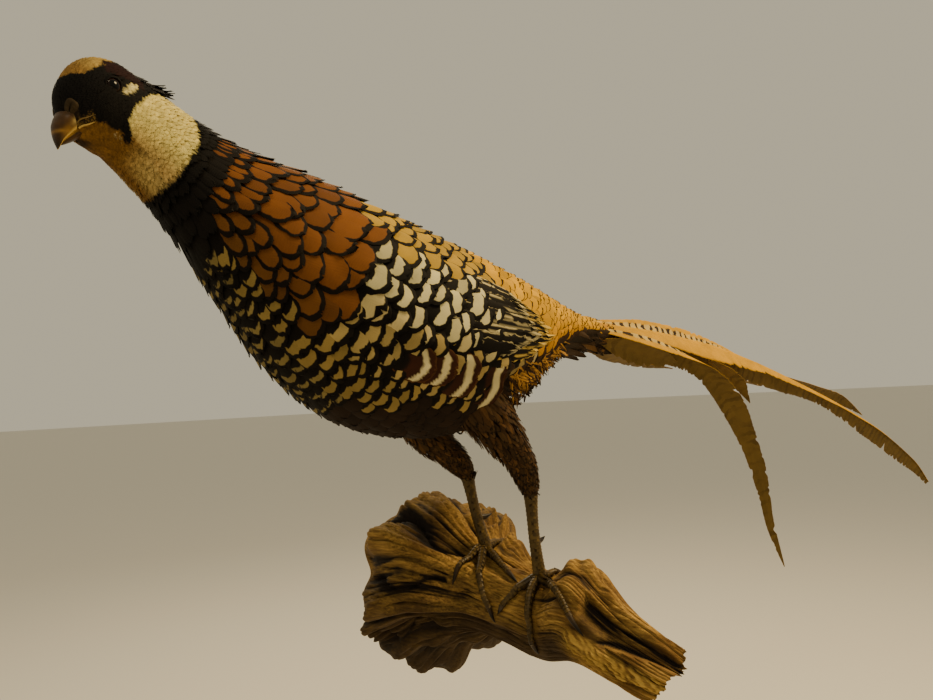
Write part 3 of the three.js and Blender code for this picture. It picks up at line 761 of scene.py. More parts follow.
def horn_material():
    """Keratin: a smooth, slightly translucent sheath with growth lines, low gloss."""
    material, tree, principled = surface_material("bill horn", 0.42, Specular_IOR_Level=0.22)
    tint = add(tree, "ShaderNodeAttribute", attribute_name="Tint").outputs["Color"]
    place = add(tree, "ShaderNodeTexCoord").outputs["Object"]
    streak = add(tree, "ShaderNodeTexNoise", {"Vector": place, "Scale": 300.0, "Detail": 3.0})
    ramp = add(tree, "ShaderNodeMapRange", {"Value": streak.outputs["Fac"], "From Min": 0.3,
                                            "From Max": 0.7, "To Min": 0.75, "To Max": 1.2})
    tone = add(tree, "ShaderNodeCombineColor", dict.fromkeys(range(3), ramp.outputs[0]))
    mixed = add(tree, "ShaderNodeMix", {0: 1.0, 6: tint, 7: tone.outputs[0]},
                data_type="RGBA", blend_type="MULTIPLY")
    bump = add(tree, "ShaderNodeBump", {"Height": streak.outputs["Fac"], "Strength": 0.15,
                                        "Distance": 0.0004})
    tree.links.new(mixed.outputs[2], principled.inputs["Base Color"])
    tree.links.new(bump.outputs[0], principled.inputs["Normal"])
    return material


HORN = horn_material()
for name, shape in BILL.items():
    u, turn = paired(np.linspace(0, 1, 36), circle(56))
    grid = bill_half(shape, u, turn, -1 if name == "bill_upper" else 1)
    middle = grid.mean(1, keepdims=True)
    if name == "bill_upper":
        # The cutting edge is pale horn, drawn brighter as a painted highlight.
        edge = smooth(-np.cos(turn), 0.45, 0.8)
        tint = lerp(linear(0x40290C), linear(0x221506), smooth(u, 0.3, 1.0)[..., None])
        worn = np.exp(-((u - 0.46) / 0.2) ** 2) * smooth(-np.cos(turn), -0.75, 0.45)
        tint = lerp(tint, linear(0x84601E), 0.75 * worn[..., None])
        band = 0.8 * np.exp(-(((u - 0.50 - 0.05 * np.cos(turn)) / 0.045) ** 2))
        tint = lerp(tint, linear(0x8A662A), band[..., None])
        tint = lerp(tint, linear(0xD8B45C), edge[..., None])
        # A painted highlight: a glint on the side near the bill's base, by the gape.
        painted_glint = np.exp(-((u - 0.10) / 0.12) ** 2 - ((np.cos(turn) + 0.35) / 0.3) ** 2)
        tint = lerp(tint, linear(0xE8CC7E), 0.9 * painted_glint[..., None])
        ridge = 0.05 * np.exp(-((u - 0.5) / 0.35) ** 2) * np.cos(turn) ** 8 * (np.cos(turn) > 0)
        growth = 0.012 * np.sin(34 * u + 2 * np.cos(turn)) * (1 - u)
        grid = grid + (grid - middle) * (ridge + growth)[..., None]
    else:
        # The lower bill's top edge is pale horn, drawn brighter as a painted highlight.
        pale = smooth(np.cos(turn), 0.2, 0.9)[..., None]
        tint = lerp(linear(0x40290C), linear(0xC8A04A), pale)
    points, faces = closed_loft(grid)
    mesh_piece(name, to_part(points), faces, HORN, replaces=[name],
               data={"Tint": with_poles(tint)})

# %% Pale lips from the bill back to the gape
def gape_lip(side, stations, degrees, radius):
    """A thin roll of skin along a line on the face, thinning to its hind end."""
    u, turn = paired(np.linspace(0, 1, 16), circle(8))
    t, a = through(stations, u[:, 0] * 2), np.radians(through(degrees, u[:, 0] * 2))
    line = coat(t, side * a, -0.1)
    return tube(line, np.array([radius, radius, radius * 0.8, radius * 0.2]), u, turn, (0, 1, 0))


# Stations, degrees and radius in mm, then the colour: the upper lip is olive, the lower pale.
LIPS = [(([0.35, 1.6, 2.7], [99, 106, 109], 0.38), 0x6E582E),
        (([0.2, 1.2, 2.5], [112, 118, 119], 0.55), 0xBC9C50)]
lips = [closed_loft(gape_lip(side, *lip)) for side in (-1, 1) for lip, _ in LIPS]
points, faces = joined(lips)
tint = np.repeat([linear(code) for _, code in LIPS] * 2, len(lips[0][0]), axis=0)
mesh_piece("gape_lips", to_part(points), faces, HORN, data={"Tint": tint})


# %% A scaly flap over each nostril
def nostril_flap(side):
    """A dome on the coat: station and angle run in an oval, height is 2.8 sqrt(1 - r^2) - 1.5
    mm with a slight wave round it, and a slit is pressed into it."""
    r, turn = paired(np.linspace(0.06, 1, 12), circle(32))
    t = 0.84 + 0.86 * r * np.cos(turn) + 0.085 * r * np.sin(turn)
    degrees = 67 + 10 * r * np.cos(turn) + 20 * r * np.sin(turn)
    slit = np.exp(-(((degrees - 66 - 5 * (t - 0.6)) / 2.2) ** 2) - ((t - 0.6) / 0.34) ** 2)
    height = 2.8 * np.sqrt(1.0001 - r ** 2) + 0.2 * np.sin(5 * turn) * r - 1.2 * slit - 1.5
    dome = coat(t, side * np.radians(degrees), height)
    base = coat(t[-1:], side * np.radians(degrees[-1:]), -3.0)
    # The slit is darkened towards black as painted shade.
    shade = lerp(linear(0x32281A), linear(0x0A0805), np.clip(slit, 0, 1)[..., None])
    shade = with_poles(np.concatenate([shade, shade[-1:]]))
    return closed_loft(np.concatenate([dome, base])), shade.reshape(-1, 4)


flaps = [nostril_flap(side) for side in (-1, 1)]
points, faces = joined([flap for flap, _ in flaps])
mesh_piece("nostril_flaps", to_part(points), faces, SKIN,
           data={"Tint": np.concatenate([shade for _, shade in flaps])})

# %% [markdown]
# ## The coat of feathers
# A bird's feathers grow in staggered rows and lie like tiles: each covers the roots of the
# next two rows. One function makes any number of feathers at once from where they are rooted,
# how long and wide they are and how they lie. Its grid is finest towards the tip and the sides,
# where the rim lies, so that the distance to the feather's edge comes out true there.

# %% Feathers on a surface
# Rows run from root to tip and columns from side to side; small feathers have fewer.
BODY_V = np.array([0, 0.35, 0.58, 0.68, 0.78, 0.87, 0.93, 0.97, 1.0])
BODY_U = np.array([-1, -0.82, -0.62, -0.3, 0, 0.3, 0.62, 0.82, 1])
SMALL_V = np.array([0, 0.45, 0.7, 0.88, 1.0])
SMALL_U = np.array([-1, -0.6, 0, 0.6, 1])
FACE_V = np.array([0, 0.5, 0.8, 1.0])
FACE_U = np.array([-1, 0, 1])


def outline(v, widest, base):
    """Half width for a half width of 1: grows from base to 1 at widest, then a quarter of a
    full-bodied ellipse down to a blunt tip."""
    grows = lerp(base, 1.0, smooth(v, 0, widest))
    past = np.clip((v - widest) / (1 - widest), 0, 1)
    return grows * (1 - 0.985 * past ** 2.7) ** 0.5


def metric(surface, s, a):
    """mm for one unit of s and for one radian of a."""
    step = 0.02
    here = surface(s, a, 0.0)
    return (np.linalg.norm(surface(s + step, a, 0.0) - here, axis=-1) / step,
            np.linalg.norm(surface(s, a + step, 0.0) - here, axis=-1) / step)


def vanes(surface, s, a, length, width, *, v, u, depth, rise=0.0, lie=0.0, roll=0.0,
          camber=0.12, widest=0.6, base=0.3, fray=0.05, droop=0.0):
    """Feathers as an array (feather, row, column, 3). A point lies length * v forward and
    width / 2 * outline * u aside, both turned by lie and divided by the surface's own mm. Its
    height is -depth (1 - v)^1.2 + rise v^2 + roll u, less camber u^2 times half the width."""
    count = len(s)
    column = [np.broadcast_to(np.asarray(x, float), count)[:, None, None]
              for x in (length, width, depth, rise, lie, roll, droop)]
    length, width, depth, rise, lie, roll, droop = column
    along, across = metric(surface, s, a)
    halfway = s + 0.5 * length[:, 0, 0] / along
    along2, across2 = metric(surface, halfway, a)
    along, across = ((x + y)[:, None, None] / 2 for x, y in ((along, along2), (across, across2)))
    v, u = v[None, :, None], u[None, None, :]
    half = width / 2 * outline(v, widest, base)
    ragged = 1 + fray * rng.standard_normal((count, v.shape[1], u.shape[2])) * abs(u) ** 3
    forward = length * v * (1 + 0.4 * fray * rng.standard_normal((count, 1, u.shape[2])) * v)
    aside = half * u * ragged
    height = -depth * (1 - v) ** 1.2 + rise * v ** 2 + roll * u - camber * half * u ** 2
    s2 = s[:, None, None] + (forward * np.cos(lie) - aside * np.sin(lie)) / along
    a2 = a[:, None, None] + (forward * np.sin(lie) + aside * np.cos(lie)) / across
    points = surface(s2, a2, height)
    points[..., 2] -= droop * v ** 2
    return points, half, forward, (s2, a2)


def feather_data(half, forward, length, u, v, rim, patch):
    """mm inside the rim (smooth minimum of the distances to the side and to the tip, less the
    rim, and no more than the distance from where the patch starts), and the barbs' phase."""
    length, rim, patch = (np.asarray(x, float)[:, None, None] for x in (length, rim, patch))
    v, u = v[None, :, None], u[None, None, :]
    to_side, to_tip = half * (1 - abs(u)), length * (1 - v) + 0 * u
    soft = 1.2
    nearer = -soft * np.log(np.exp(-to_side / soft) + np.exp(-to_tip / soft))
    starts = patch * (1.03 - 0.26 * u ** 2)
    inside = np.minimum(nearer + 0.3 - rim, (v - starts) * length)
    return inside, forward - half * abs(u)


def coat_piece(name, surface, s, a, length, width, looks, slot, *, v=BODY_V, u=BODY_U,
               replaces=(), chart=None, tone=0.10, **shape):
    """Builds the vanes, gives each its colours from looks = (ground, edge, rim, patch), lighter
    or darker by a share of about tone, and lays each one's part of the unwrap at its root's
    place. Without looks, each point has the colours of its own place, so that a border between
    two areas is sharp."""
    points, half, forward, places = vanes(surface, s, a, length, width, v=v, u=u, **shape)
    if looks is None:
        ground, edge, _, _ = looks_at(places[0], np.degrees(places[1]))
        rim, patch = np.full(len(s), 0.3), np.zeros(len(s))
    else:
        ground, edge, rim, patch = looks
    inside, barb = feather_data(half, forward, np.broadcast_to(length, s.shape), u, v, rim, patch)
    grid = points.shape[:3]
    shade = np.append(np.ones(3), 0) * tone * rng.standard_normal((len(s), 1)) + 1
    tints = [np.broadcast_to(colour if colour.ndim == 4 else colour[:, None, None], grid + (4,))
             * shade[:, None, None] for colour in (ground, edge)]
    x, y = chart if chart is not None else (s / 20, (a / (2 * math.pi)) % 1.0)
    across = np.broadcast_to(x[:, None, None] * 0.99 + 0.005 + 0.0015 * u, grid)
    up = np.broadcast_to(y[:, None, None] * 0.99 + 0.005 + 0.003 * (v[:, None] - 0.5), grid)
    faces = grid_faces(len(v), len(u), copies=len(s))
    mesh_piece(name, to_part(points), faces, FEATHER, replaces=replaces,
               uv={"OFBake": np.stack([across, up], -1)},
               data={"Inside": inside, "Barb": barb, "Ground": tints[0], "Edge": tints[1]})


# %% Where the feathers of the body are rooted
# Station, then mm from one row to the next, then the number of feathers round.
ROW_PLAN = np.array([
    [-0.3, 1.5, 52], [2, 1.8, 76], [4, 2.0, 84], [6, 2.4, 84], [7, 2.8, 88], [8, 3.2, 92],
    [8.9, 3.8, 84], [9.1, 6.5, 50], [9.6, 11, 30], [9.9, 14, 25], [11.9, 16, 25],
    [12.0, 13.0, 32], [14.2, 12.5, 32], [14.4, 10.0, 36], [15, 9.5, 34], [16, 9.0, 28],
    [17, 9.0, 20], [18.2, 8, 18],
])
BREAST_FINER = 1.3
BREAST_FROM, BREAST_TO = 9.7, 13.9  # stations


def body_rows(start, stop, finer=1.0):
    """Rows of roots one row's pitch apart, with every second row moved on by half a feather;
    each root strays by a part of the pitch. Finer rows hold more and smaller feathers."""
    stations, angles, pitches, widths = [], [], [], []
    t, odd = start, 0.0
    while t < stop:
        pitch = float(np.interp(t, ROW_PLAN[:, 0], ROW_PLAN[:, 1])) / finer
        count = int(round(finer * np.interp(t, ROW_PLAN[:, 0], ROW_PLAN[:, 2])))
        a = (np.arange(count) + odd) * 2 * math.pi / count
        along, across = metric(coat, np.full(count, t), a)
        stations.append(t + 0.07 * pitch / along * rng.standard_normal(count))
        angles.append(a + 0.07 * 2 * math.pi / count * rng.standard_normal(count))
        pitches.append(np.full(count, pitch))
        widths.append(across * 2 * math.pi / count)
        t += pitch / float(along.mean())
        odd = 0.5 - odd
    return tuple(np.concatenate(x) for x in (stations, angles, pitches, widths))


def near_eye(t, a):
    """True within the bare oval round either eye."""
    degrees = from_back(a)
    return ((t - 4.45) / 0.52) ** 2 + ((degrees - 72) / 14.5) ** 2 < 1


TIP_REACH = 2.2  # from a feather's root to its visible end, as a number of rows' pitches


def tip_looks(t, a, pitch):
    """The looks of the place where the visible end of a feather lies."""
    along, _ = metric(coat, t, a)
    return looks_at(t + TIP_REACH * pitch / along, np.degrees(a))


def on_breast(t, a):
    """True below the mantle, where the feathers are smaller."""
    degrees = from_back(a)
    top = np.interp(t, [BREAST_FROM, 12], [106, 118])
    return (t > BREAST_FROM) & (t < BREAST_TO) & (degrees > top)


t, a, pitch, wide = body_rows(-0.3, 18.2)
clear = ~near_eye(t + 0.15, a) & ~on_breast(t, a)
smaller = body_rows(BREAST_FROM, BREAST_TO, finer=BREAST_FINER)
below = on_breast(smaller[0], smaller[1])
t, a, pitch, wide = (np.concatenate([x[clear], y[below]])
                     for x, y in zip((t, a, pitch, wide), smaller))
looks = tip_looks(t, a, pitch)
side = np.where(np.sin(a) >= 0, 1.0, -1.0)
degrees = from_back(a)
print(len(t), "feathers on the body")

# %% Face, neck and body pieces
LENGTH_IN_PITCHES = 2.7
WIDTH_IN_GAPS = 1.7  # the gap is that between the middles of two neighbours in a row
# Roots on the front of the wing, and roots behind it that the flight feathers hide, which the
# flank and the rump leave out.
on_wing = (t > 11.9) & (t < 13.6) & (degrees > np.interp(t, [11.9, 13, 15], [52, 46, 60])) & (
    degrees < np.interp(t, [11.9, 12.6, 15], [90, 101, 106]))
under_wing = (t >= 13.6) & (t < 14.25) & (degrees > 64) & (degrees < 104)
PLUSH = dict(camber=0.05, roll=0.0, rise=0.0)
# The slot, which roots are in it, and how its feathers differ from the usual.
REGIONS = {
    "coat_face": ("mask_feathers", t < 5.6, dict(v=FACE_V, u=FACE_U, fray=0.03, **PLUSH)),
    "coat_neck": ("collar_feathers", (t >= 5.6) & (t < 9.1), dict(v=SMALL_V, u=SMALL_U, **PLUSH)),
    "coat_mantle": ("scaled_feathers", (t >= 9.1) & (t < 11.9), {}),
    "coat_wing_left": ("wing_feathers", on_wing & (side > 0), {}),
    "coat_wing_right": ("wing_feathers", on_wing & (side < 0), {}),
    "coat_back": ("scaled_feathers", (t >= 11.9) & ~on_wing & (degrees < 75) & (t < 14), {}),
    "coat_flank": ("scaled_feathers", (t >= 11.9) & ~on_wing & (degrees >= 75) & (t < 14.3)
                   & ~((t > 13.9) & (degrees > 100)) & ~under_wing, {}),
    "coat_rump": ("rump_feathers", (t >= 14) & ~under_wing & (degrees < 112), {}),
}
for name, (slot, pick, extra) in REGIONS.items():
    where = np.flatnonzero(pick)
    n = len(where)
    # Size, rise, lie and roll all stray a little, and no two feathers are quite alike.
    size = 1 + 0.08 * rng.standard_normal(n)
    shape = dict(depth=depth_of(t[where]), rise=0.04 * pitch[where] * rng.random(n),
                 lie=0.07 * rng.standard_normal(n),
                 roll=0.05 * wide[where] * (side[where] + rng.standard_normal(n) * 0.4),
                 replaces=[name[5:]] if "wing" in name else ())
    coat_piece(name, wing_coat if "wing" in name else plumage, t[where], a[where],
               LENGTH_IN_PITCHES * pitch[where] * size, WIDTH_IN_GAPS * wide[where] * size,
               None if name in ("coat_face", "coat_neck") else [x[where] for x in looks], slot,
               **{**shape, **extra})

# %% [markdown]
# ### Feathers that stand out
# Some feathers are not part of the tiled rows: the flight feathers at the end of the folded
# wing, the banded plumes that droop from the flank, loose down at the vent, the hairy
# feathers of the thighs, the coverts over and under the tail, and the tuft at the nape.
# Each group is listed by where it is rooted, and mirrored for the bird's other side.

# %% Groups of single feathers
def both_sides(t, degrees, *more):
    """Roots for the left side and then for the right, with a sign for the side."""
    t, degrees = np.asarray(t, float).ravel(), np.asarray(degrees, float).ravel()
    sign = np.repeat([1.0, -1.0], len(t))
    return (np.tile(t, 2), np.tile(np.radians(degrees), 2) * sign, sign,
            *(np.tile(np.asarray(x, float).ravel(), 2) for x in more))


def scatter(count, t, degrees):
    """Roots drawn evenly from a box of station and degrees."""
    return rng.uniform(*t, count), rng.uniform(*degrees, count)


def flat_looks(count, ground, edge, rim):
    """The same looks for each of a number of feathers."""
    return (np.tile(linear(ground), (count, 1)), np.tile(linear(edge), (count, 1)),
            np.full(count, rim), np.zeros(count))


def mixed_looks(count, grounds, edge, rim):
    """Looks whose ground is drawn from several colours."""
    colours = np.array([linear(code) for code in grounds])
    drawn = colours[rng.integers(0, len(grounds), count)]
    return (drawn, *flat_looks(count, grounds[0], edge, rim)[1:])


# Loose feathers are narrow, with only three columns.
PLUME_V = np.array([0, 0.25, 0.5, 0.75, 0.9, 1.0])
PLUME_U = np.array([-1, 0, 1])

# %% Flight feathers at the end of the wing
FLIGHT_V = np.append([0, 0.25], np.linspace(0.4, 1, 20))
FLIGHT_WIDTH = 13.0  # mm
STREAK_ROWS, STREAK_SHARE = 6, 0.17


def wing_row(count, degrees, start, ends, ground, edge, rim, name, rise):
    """A row of long feathers across the wing's end: each reaches from its station to the
    station in ends that lies at its share of the way down."""
    share = np.linspace(0, 1, count)
    t2, a2, sign, end = both_sides(lerp(*start, share), lerp(*degrees, share),
                                   through(ends, share * (len(ends) - 1)))
    along, _ = metric(coat, t2, a2)
    n = len(t2)
    v = FLIGHT_V[None, :, None, None]
    # Pale streaks run along the feather, one column wide; the tip is pale all over.
    drawn = rng.random((n, 4, len(BODY_U), 1)) < STREAK_SHARE
    streak = np.repeat(drawn, STREAK_ROWS, axis=1)[:, :len(FLIGHT_V)]
    pale = np.clip(smooth(v, 0.94, 0.97) + streak * (v > 0.4), 0, 1)
    looks = (lerp(linear(ground), linear(edge), pale), *flat_looks(n, ground, edge, rim)[1:])
    coat_piece(name, wing_coat, t2, a2, (end - t2) * along, np.full(n, FLIGHT_WIDTH), looks,
               "wing_feathers", v=FLIGHT_V, depth=3.0, rise=rise,
               lie=sign * np.tile(lerp(0.12, -0.06, share), 2), roll=-0.8 * sign, fray=0.12,
               widest=0.5, tone=0.2)


wing_row(9, (64, 101), (13.2, 13.15), [14.25, 14.4, 14.55, 14.65, 14.3],
         0x0E0905, 0xB8AA7C, 0.55, "flight_feathers", 2.0)
wing_row(11, (66, 103), (13.3, 13.4), [14.45, 14.7, 14.9, 15.05, 14.6],
         0x0E0905, 0xC9A94E, 0.6, "flight_feathers_under", 0.5)

# %% Banded plumes of the flank
BAND_V, BAND_U = np.linspace(0, 1, 34), np.linspace(-1, 1, 17)
PLUME_TIPS = np.array([13.34, 13.60, 13.94, 14.38])  # stations
PLUME_REACH, PLUME_LENGTH = 0.70, 44.0  # in stations and in mm
t2, a2, sign, wide2 = both_sides(PLUME_TIPS - PLUME_REACH, [120, 119, 121, 124], [27, 30, 37, 50])
n = len(t2)
v, u = BAND_V[None, :, None, None], BAND_U[None, None, :, None]
bent = v + 0.17 * u ** 2  # the band bends back at its ends, as the tip does
narrow = np.array([0.06, 0.05, 0.03, 0.0] * 2)[:, None, None, None]
cream = smooth(bent, 0.72 + narrow, 0.74 + narrow) * (1 - smooth(bent, 0.88, 0.90))
chestnut = lerp(linear(0x0E0905), linear(0x361A0B), smooth(bent, 0.54, 0.60))
ground = lerp(chestnut, linear(0xD8CA96), cream) * np.ones((n, 1, 1, 1))
coat_piece("flank_plumes", plumage, t2, a2, np.full(n, PLUME_LENGTH), wide2,
           (ground, *flat_looks(n, 0, 0x4A2C10, 1.5)[1:]), "scaled_feathers", v=BAND_V, u=BAND_U,
           depth=4.0, rise=3.5, roll=1.0 * sign, lie=sign * (-0.16 + 0.04 * rng.standard_normal(n)),
           fray=0.03, widest=0.66)

# %% Loose down at the vent
t2, a2, sign = both_sides(*scatter(420, (14.35, 15.8), (102, 172)))
n = len(t2)
looks2 = mixed_looks(n, [0x2E1D0F, 0x3E2814, 0x1E140B, 0x4A3014, 0x5E3E18], 0x2A1A0C, 0.3)
fair = (np.degrees(abs(a2)) < 124)[:, None]
looks2 = (np.where(fair & (rng.random((n, 1)) < 0.75), linear(0xAE8038), looks2[0]),) + looks2[1:]
coat_piece("vent_down", plumage, t2, a2, rng.uniform(18, 36, n), rng.uniform(1.2, 2.6, n), looks2,
           "rump_feathers", v=PLUME_V, u=PLUME_U, depth=4.0, rise=rng.uniform(0, 5, n),
           lie=sign * rng.uniform(0.1, 1.1, n), fray=0.15, widest=0.15, droop=rng.uniform(0, 6, n))

# %% Coverts over and under the tail
t2, a2, sign = both_sides(*scatter(46, (15.8, 17.6), (104, 178)))
n = len(t2)
coat_piece("tail_coverts_under", plumage, t2, a2, rng.uniform(45, 80, n), rng.uniform(9, 13, n),
           mixed_looks(n, [0x2E2010, 0x3A2814, 0x241809, 0x6A4A22], 0x1C1209, 0.6),
           "tail_feathers", v=SMALL_V, u=SMALL_U, depth=3.0, rise=rng.uniform(0, 3, n),
           lie=sign * rng.uniform(-0.15, 0.1, n), fray=0.12, widest=0.5,
           droop=rng.uniform(0, 12, n))
t2, a2, sign = both_sides(*scatter(26, (17.0, 18.2), (4, 96)))
n = len(t2)
coat_piece("tail_coverts_over", plumage, t2, a2, rng.uniform(34, 62, n), rng.uniform(11, 15, n),
           mixed_looks(n, [0xC48E22, 0xB98A2E, 0xC9A24A, 0x9A7434], 0x55340F, 0.7),
           "rump_feathers", v=SMALL_V, u=SMALL_U, depth=2.0, rise=rng.uniform(-1, 1, n),
           lie=sign * rng.uniform(-0.1, 0.05, n), fray=0.08, widest=0.55)

# %% Tuft at the nape
tuft_stations, tuft_degrees = [5.9, 6.1, 6.3, 5.5, 5.7], [3, 7, 11, 15, 24, 28, 32]
t2, a2, sign = both_sides(np.tile(tuft_stations, len(tuft_degrees)),
                          np.repeat(tuft_degrees, len(tuft_stations)))
n = len(t2)
upper = np.degrees(abs(a2)) < 20  # these make the upper prong, and the rest a lower one
short = t2 < 5.8  # these are rooted in front of the others, and fill in under both prongs
coat_piece("nape_plume", coat, t2, a2, np.where(short, 10.0, 16.0) + 3 * rng.random(n),
           np.full(n, 4.6), flat_looks(n, 0x110C09, 0x080605, 0.3), "mask_feathers", v=PLUME_V,
           u=PLUME_U, depth=0.8, rise=np.where(short, 1.8, np.where(upper, 8.0, 2.5))
           * rng.uniform(0.8, 1.0, n), lie=-sign * rng.uniform(0.02, 0.10, n), fray=0.1,
           widest=0.35, replaces=["nape_tuft"])

# %% Hairy feathers of the thighs
for side_name, line in LINES.items():
    def thigh_skin(s, a, grow, joints=line["joints"]):
        """A tube along the thigh's joints."""
        return tube(joints, THIGH_RADII, s, a, (1, 0, 0), grow=grow)

    around, down = 26, 30  # feathers in a ring, and rings
    n = around * down
    s2 = np.repeat(np.linspace(-0.02, 0.90, down), around) + 0.012 * rng.standard_normal(n)
    a2 = (np.tile(np.arange(around), down) + 0.5 * np.repeat(np.arange(down) % 2, around)
          + 0.2 * rng.standard_normal(n)) * 2 * math.pi / around
    slim = lerp(1.0, 0.45, s2)
    grounds = [0x46331A, 0x3E2B16, 0x4A351C, 0x3A2915, 0x442E16, 0x5A3E1E]
    coat_piece(f"coat_thigh_{side_name}", thigh_skin, s2, a2,
               rng.uniform(15, 22, n) * slim, rng.uniform(3, 5.5, n) * slim,
               mixed_looks(n, grounds, 0x0F0A06, 0.3), "thigh_feathers", v=SMALL_V, u=PLUME_U,
               chart=(s2 * 0.9 + 0.03, (a2 / (2 * math.pi)) % 1.0), depth=3.0 * slim,
               rise=rng.uniform(-0.3, 1.6, n) * slim, lie=0.12 * rng.standard_normal(n),
               fray=0.12, widest=0.45)

# %% [markdown]
# ## Claws, spurs and scales of the legs
# A bird's shank and toes are covered with hard plates, in rows that overlap like tiles down
# the front and over the top of each toe. Claws and spurs are curved horn cones.

# %% Claws and spurs
def cone(path, radii, upright):
    """A closed horn along a path, a little deeper than wide and darker towards its point."""
    s, turn = paired(np.linspace(0, 1, 24), circle(16))
    points = tube(path, radii, s, turn, upright, depth=1.15)
    tint = lerp(linear(0x3A2C1C), linear(0x120D09), smooth(s, 0.0, 0.7)[..., None])
    return closed_loft(points), with_poles(tint).reshape(-1, 4)


for side, line in LINES.items():
    for toe, path in line["claws"].items():
        (points, faces), tint = cone(path, np.array([2.4, 2.1, 1.7, 1.1, 0.25]),
                                     line["upright"][toe])
        mesh_piece(f"claw_{side}_{toe}", to_part(points), faces, HORN,
                   replaces=[f"claw_{side}_{toe}"], data={"Tint": tint})
    top, middle, sole = line["shank"]
    start = lerp(top, sole, 0.6)
    tip = start + [14, -LEGS[side]["side"] * 3, 2]
    (points, faces), tint = cone([start, lerp(start, tip, 0.55) - [0, 0, 1], tip],
                                 [2.6, 1.9, 0.3], (0, 0, 1))
    mesh_piece(f"spur_{side}", to_part(points), faces, HORN,
               replaces=[f"spur_{side}"], data={"Tint": tint})


# %% Plates on shanks and toes
PLATE_V, PLATE_U = np.array([0, 0.5, 0.85, 1]), np.array([-1, -0.5, 0, 0.5, 1])
PLATE_POINTS = len(PLATE_V) * len(PLATE_U)


def plates(surface, span, pitch, angles, width, length):
    """Overlapping plates in rows: every second row is moved on by half a plate."""
    count = max(int(span / pitch), 2)
    s = np.linspace(0.03, 0.95, count)[:, None] + 0 * angles
    gap = angles[1] - angles[0] if len(angles) > 1 else 0
    a = angles + (np.arange(count)[:, None] % 2) * 0.5 * gap
    grid, _, _, _ = vanes(surface, s.ravel(), a.ravel(), length, width, v=PLATE_V, u=PLATE_U,
                          depth=0.15, rise=0.5, camber=0.03, widest=0.75, base=0.8, fray=0.02)
    return grid.reshape(-1, 3), grid_faces(len(PLATE_V), len(PLATE_U), copies=len(grid))


parts = []
for side, line in LINES.items():
    def shank_skin(s, a, grow, path=line["shank"]):
        """A tube down the shank, a little deeper than wide."""
        return tube(path, np.array(SHANK_RADII) - 0.3, s, a, (-1, 0, 0), depth=1.1, grow=grow)

    span = float(np.linalg.norm(line["shank"][-1] - line["shank"][0]))
    parts.append(plates(shank_skin, span, 3.4, np.array([-0.42, 0.42]), 5.4, 4.8))
    parts.append(plates(shank_skin, span, 2.6, np.linspace(1.3, 5.0, 7), 3.2, 3.2))
    for toe, path in line["toes"].items():
        def toe_skin(s, a, grow, path=path, up=line["upright"][toe]):
            """A tube along one toe."""
            return tube(path, np.array(TOE_RADII) - 0.2, s, a, up, grow=grow)

        span = float(np.linalg.norm(np.diff(path, axis=0), axis=1).sum())
        parts.append(plates(toe_skin, span, 2.7, np.array([0.0]), 6.4, 3.9))
        parts.append(plates(toe_skin, span, 2.3, np.array([-1.25, 1.25]), 2.6, 2.6))
points, faces = joined(parts)
drawn = rng.standard_normal(len(points) // PLATE_POINTS)
tone = 1 + 0.25 * np.repeat(drawn, PLATE_POINTS)[:, None]
tint = linear(0x4A3A1A) * np.append(np.ones(3), 0) * tone + np.array([0, 0, 0, 1.0])
mesh_piece("leg_scales", to_part(points), faces, HORN, data={"Tint": tint})

# %% [markdown]
# ## Tail
# The long tail feathers are a shaft with a vane on each side, as thin as card and slightly
# arched. Seen from above, gold edges run beside a pale strip with dark bars; the underside is
# dull brown. Each feather is a closed strip carried along its shaft. Its rows slant forward as
# the barbs do, so that a notch in the edge is a slanted split between barbs, as on a worn vane.

# %% Tail feathers' material
BAR_PITCH = 13.0  # mm from one dark bar to the next


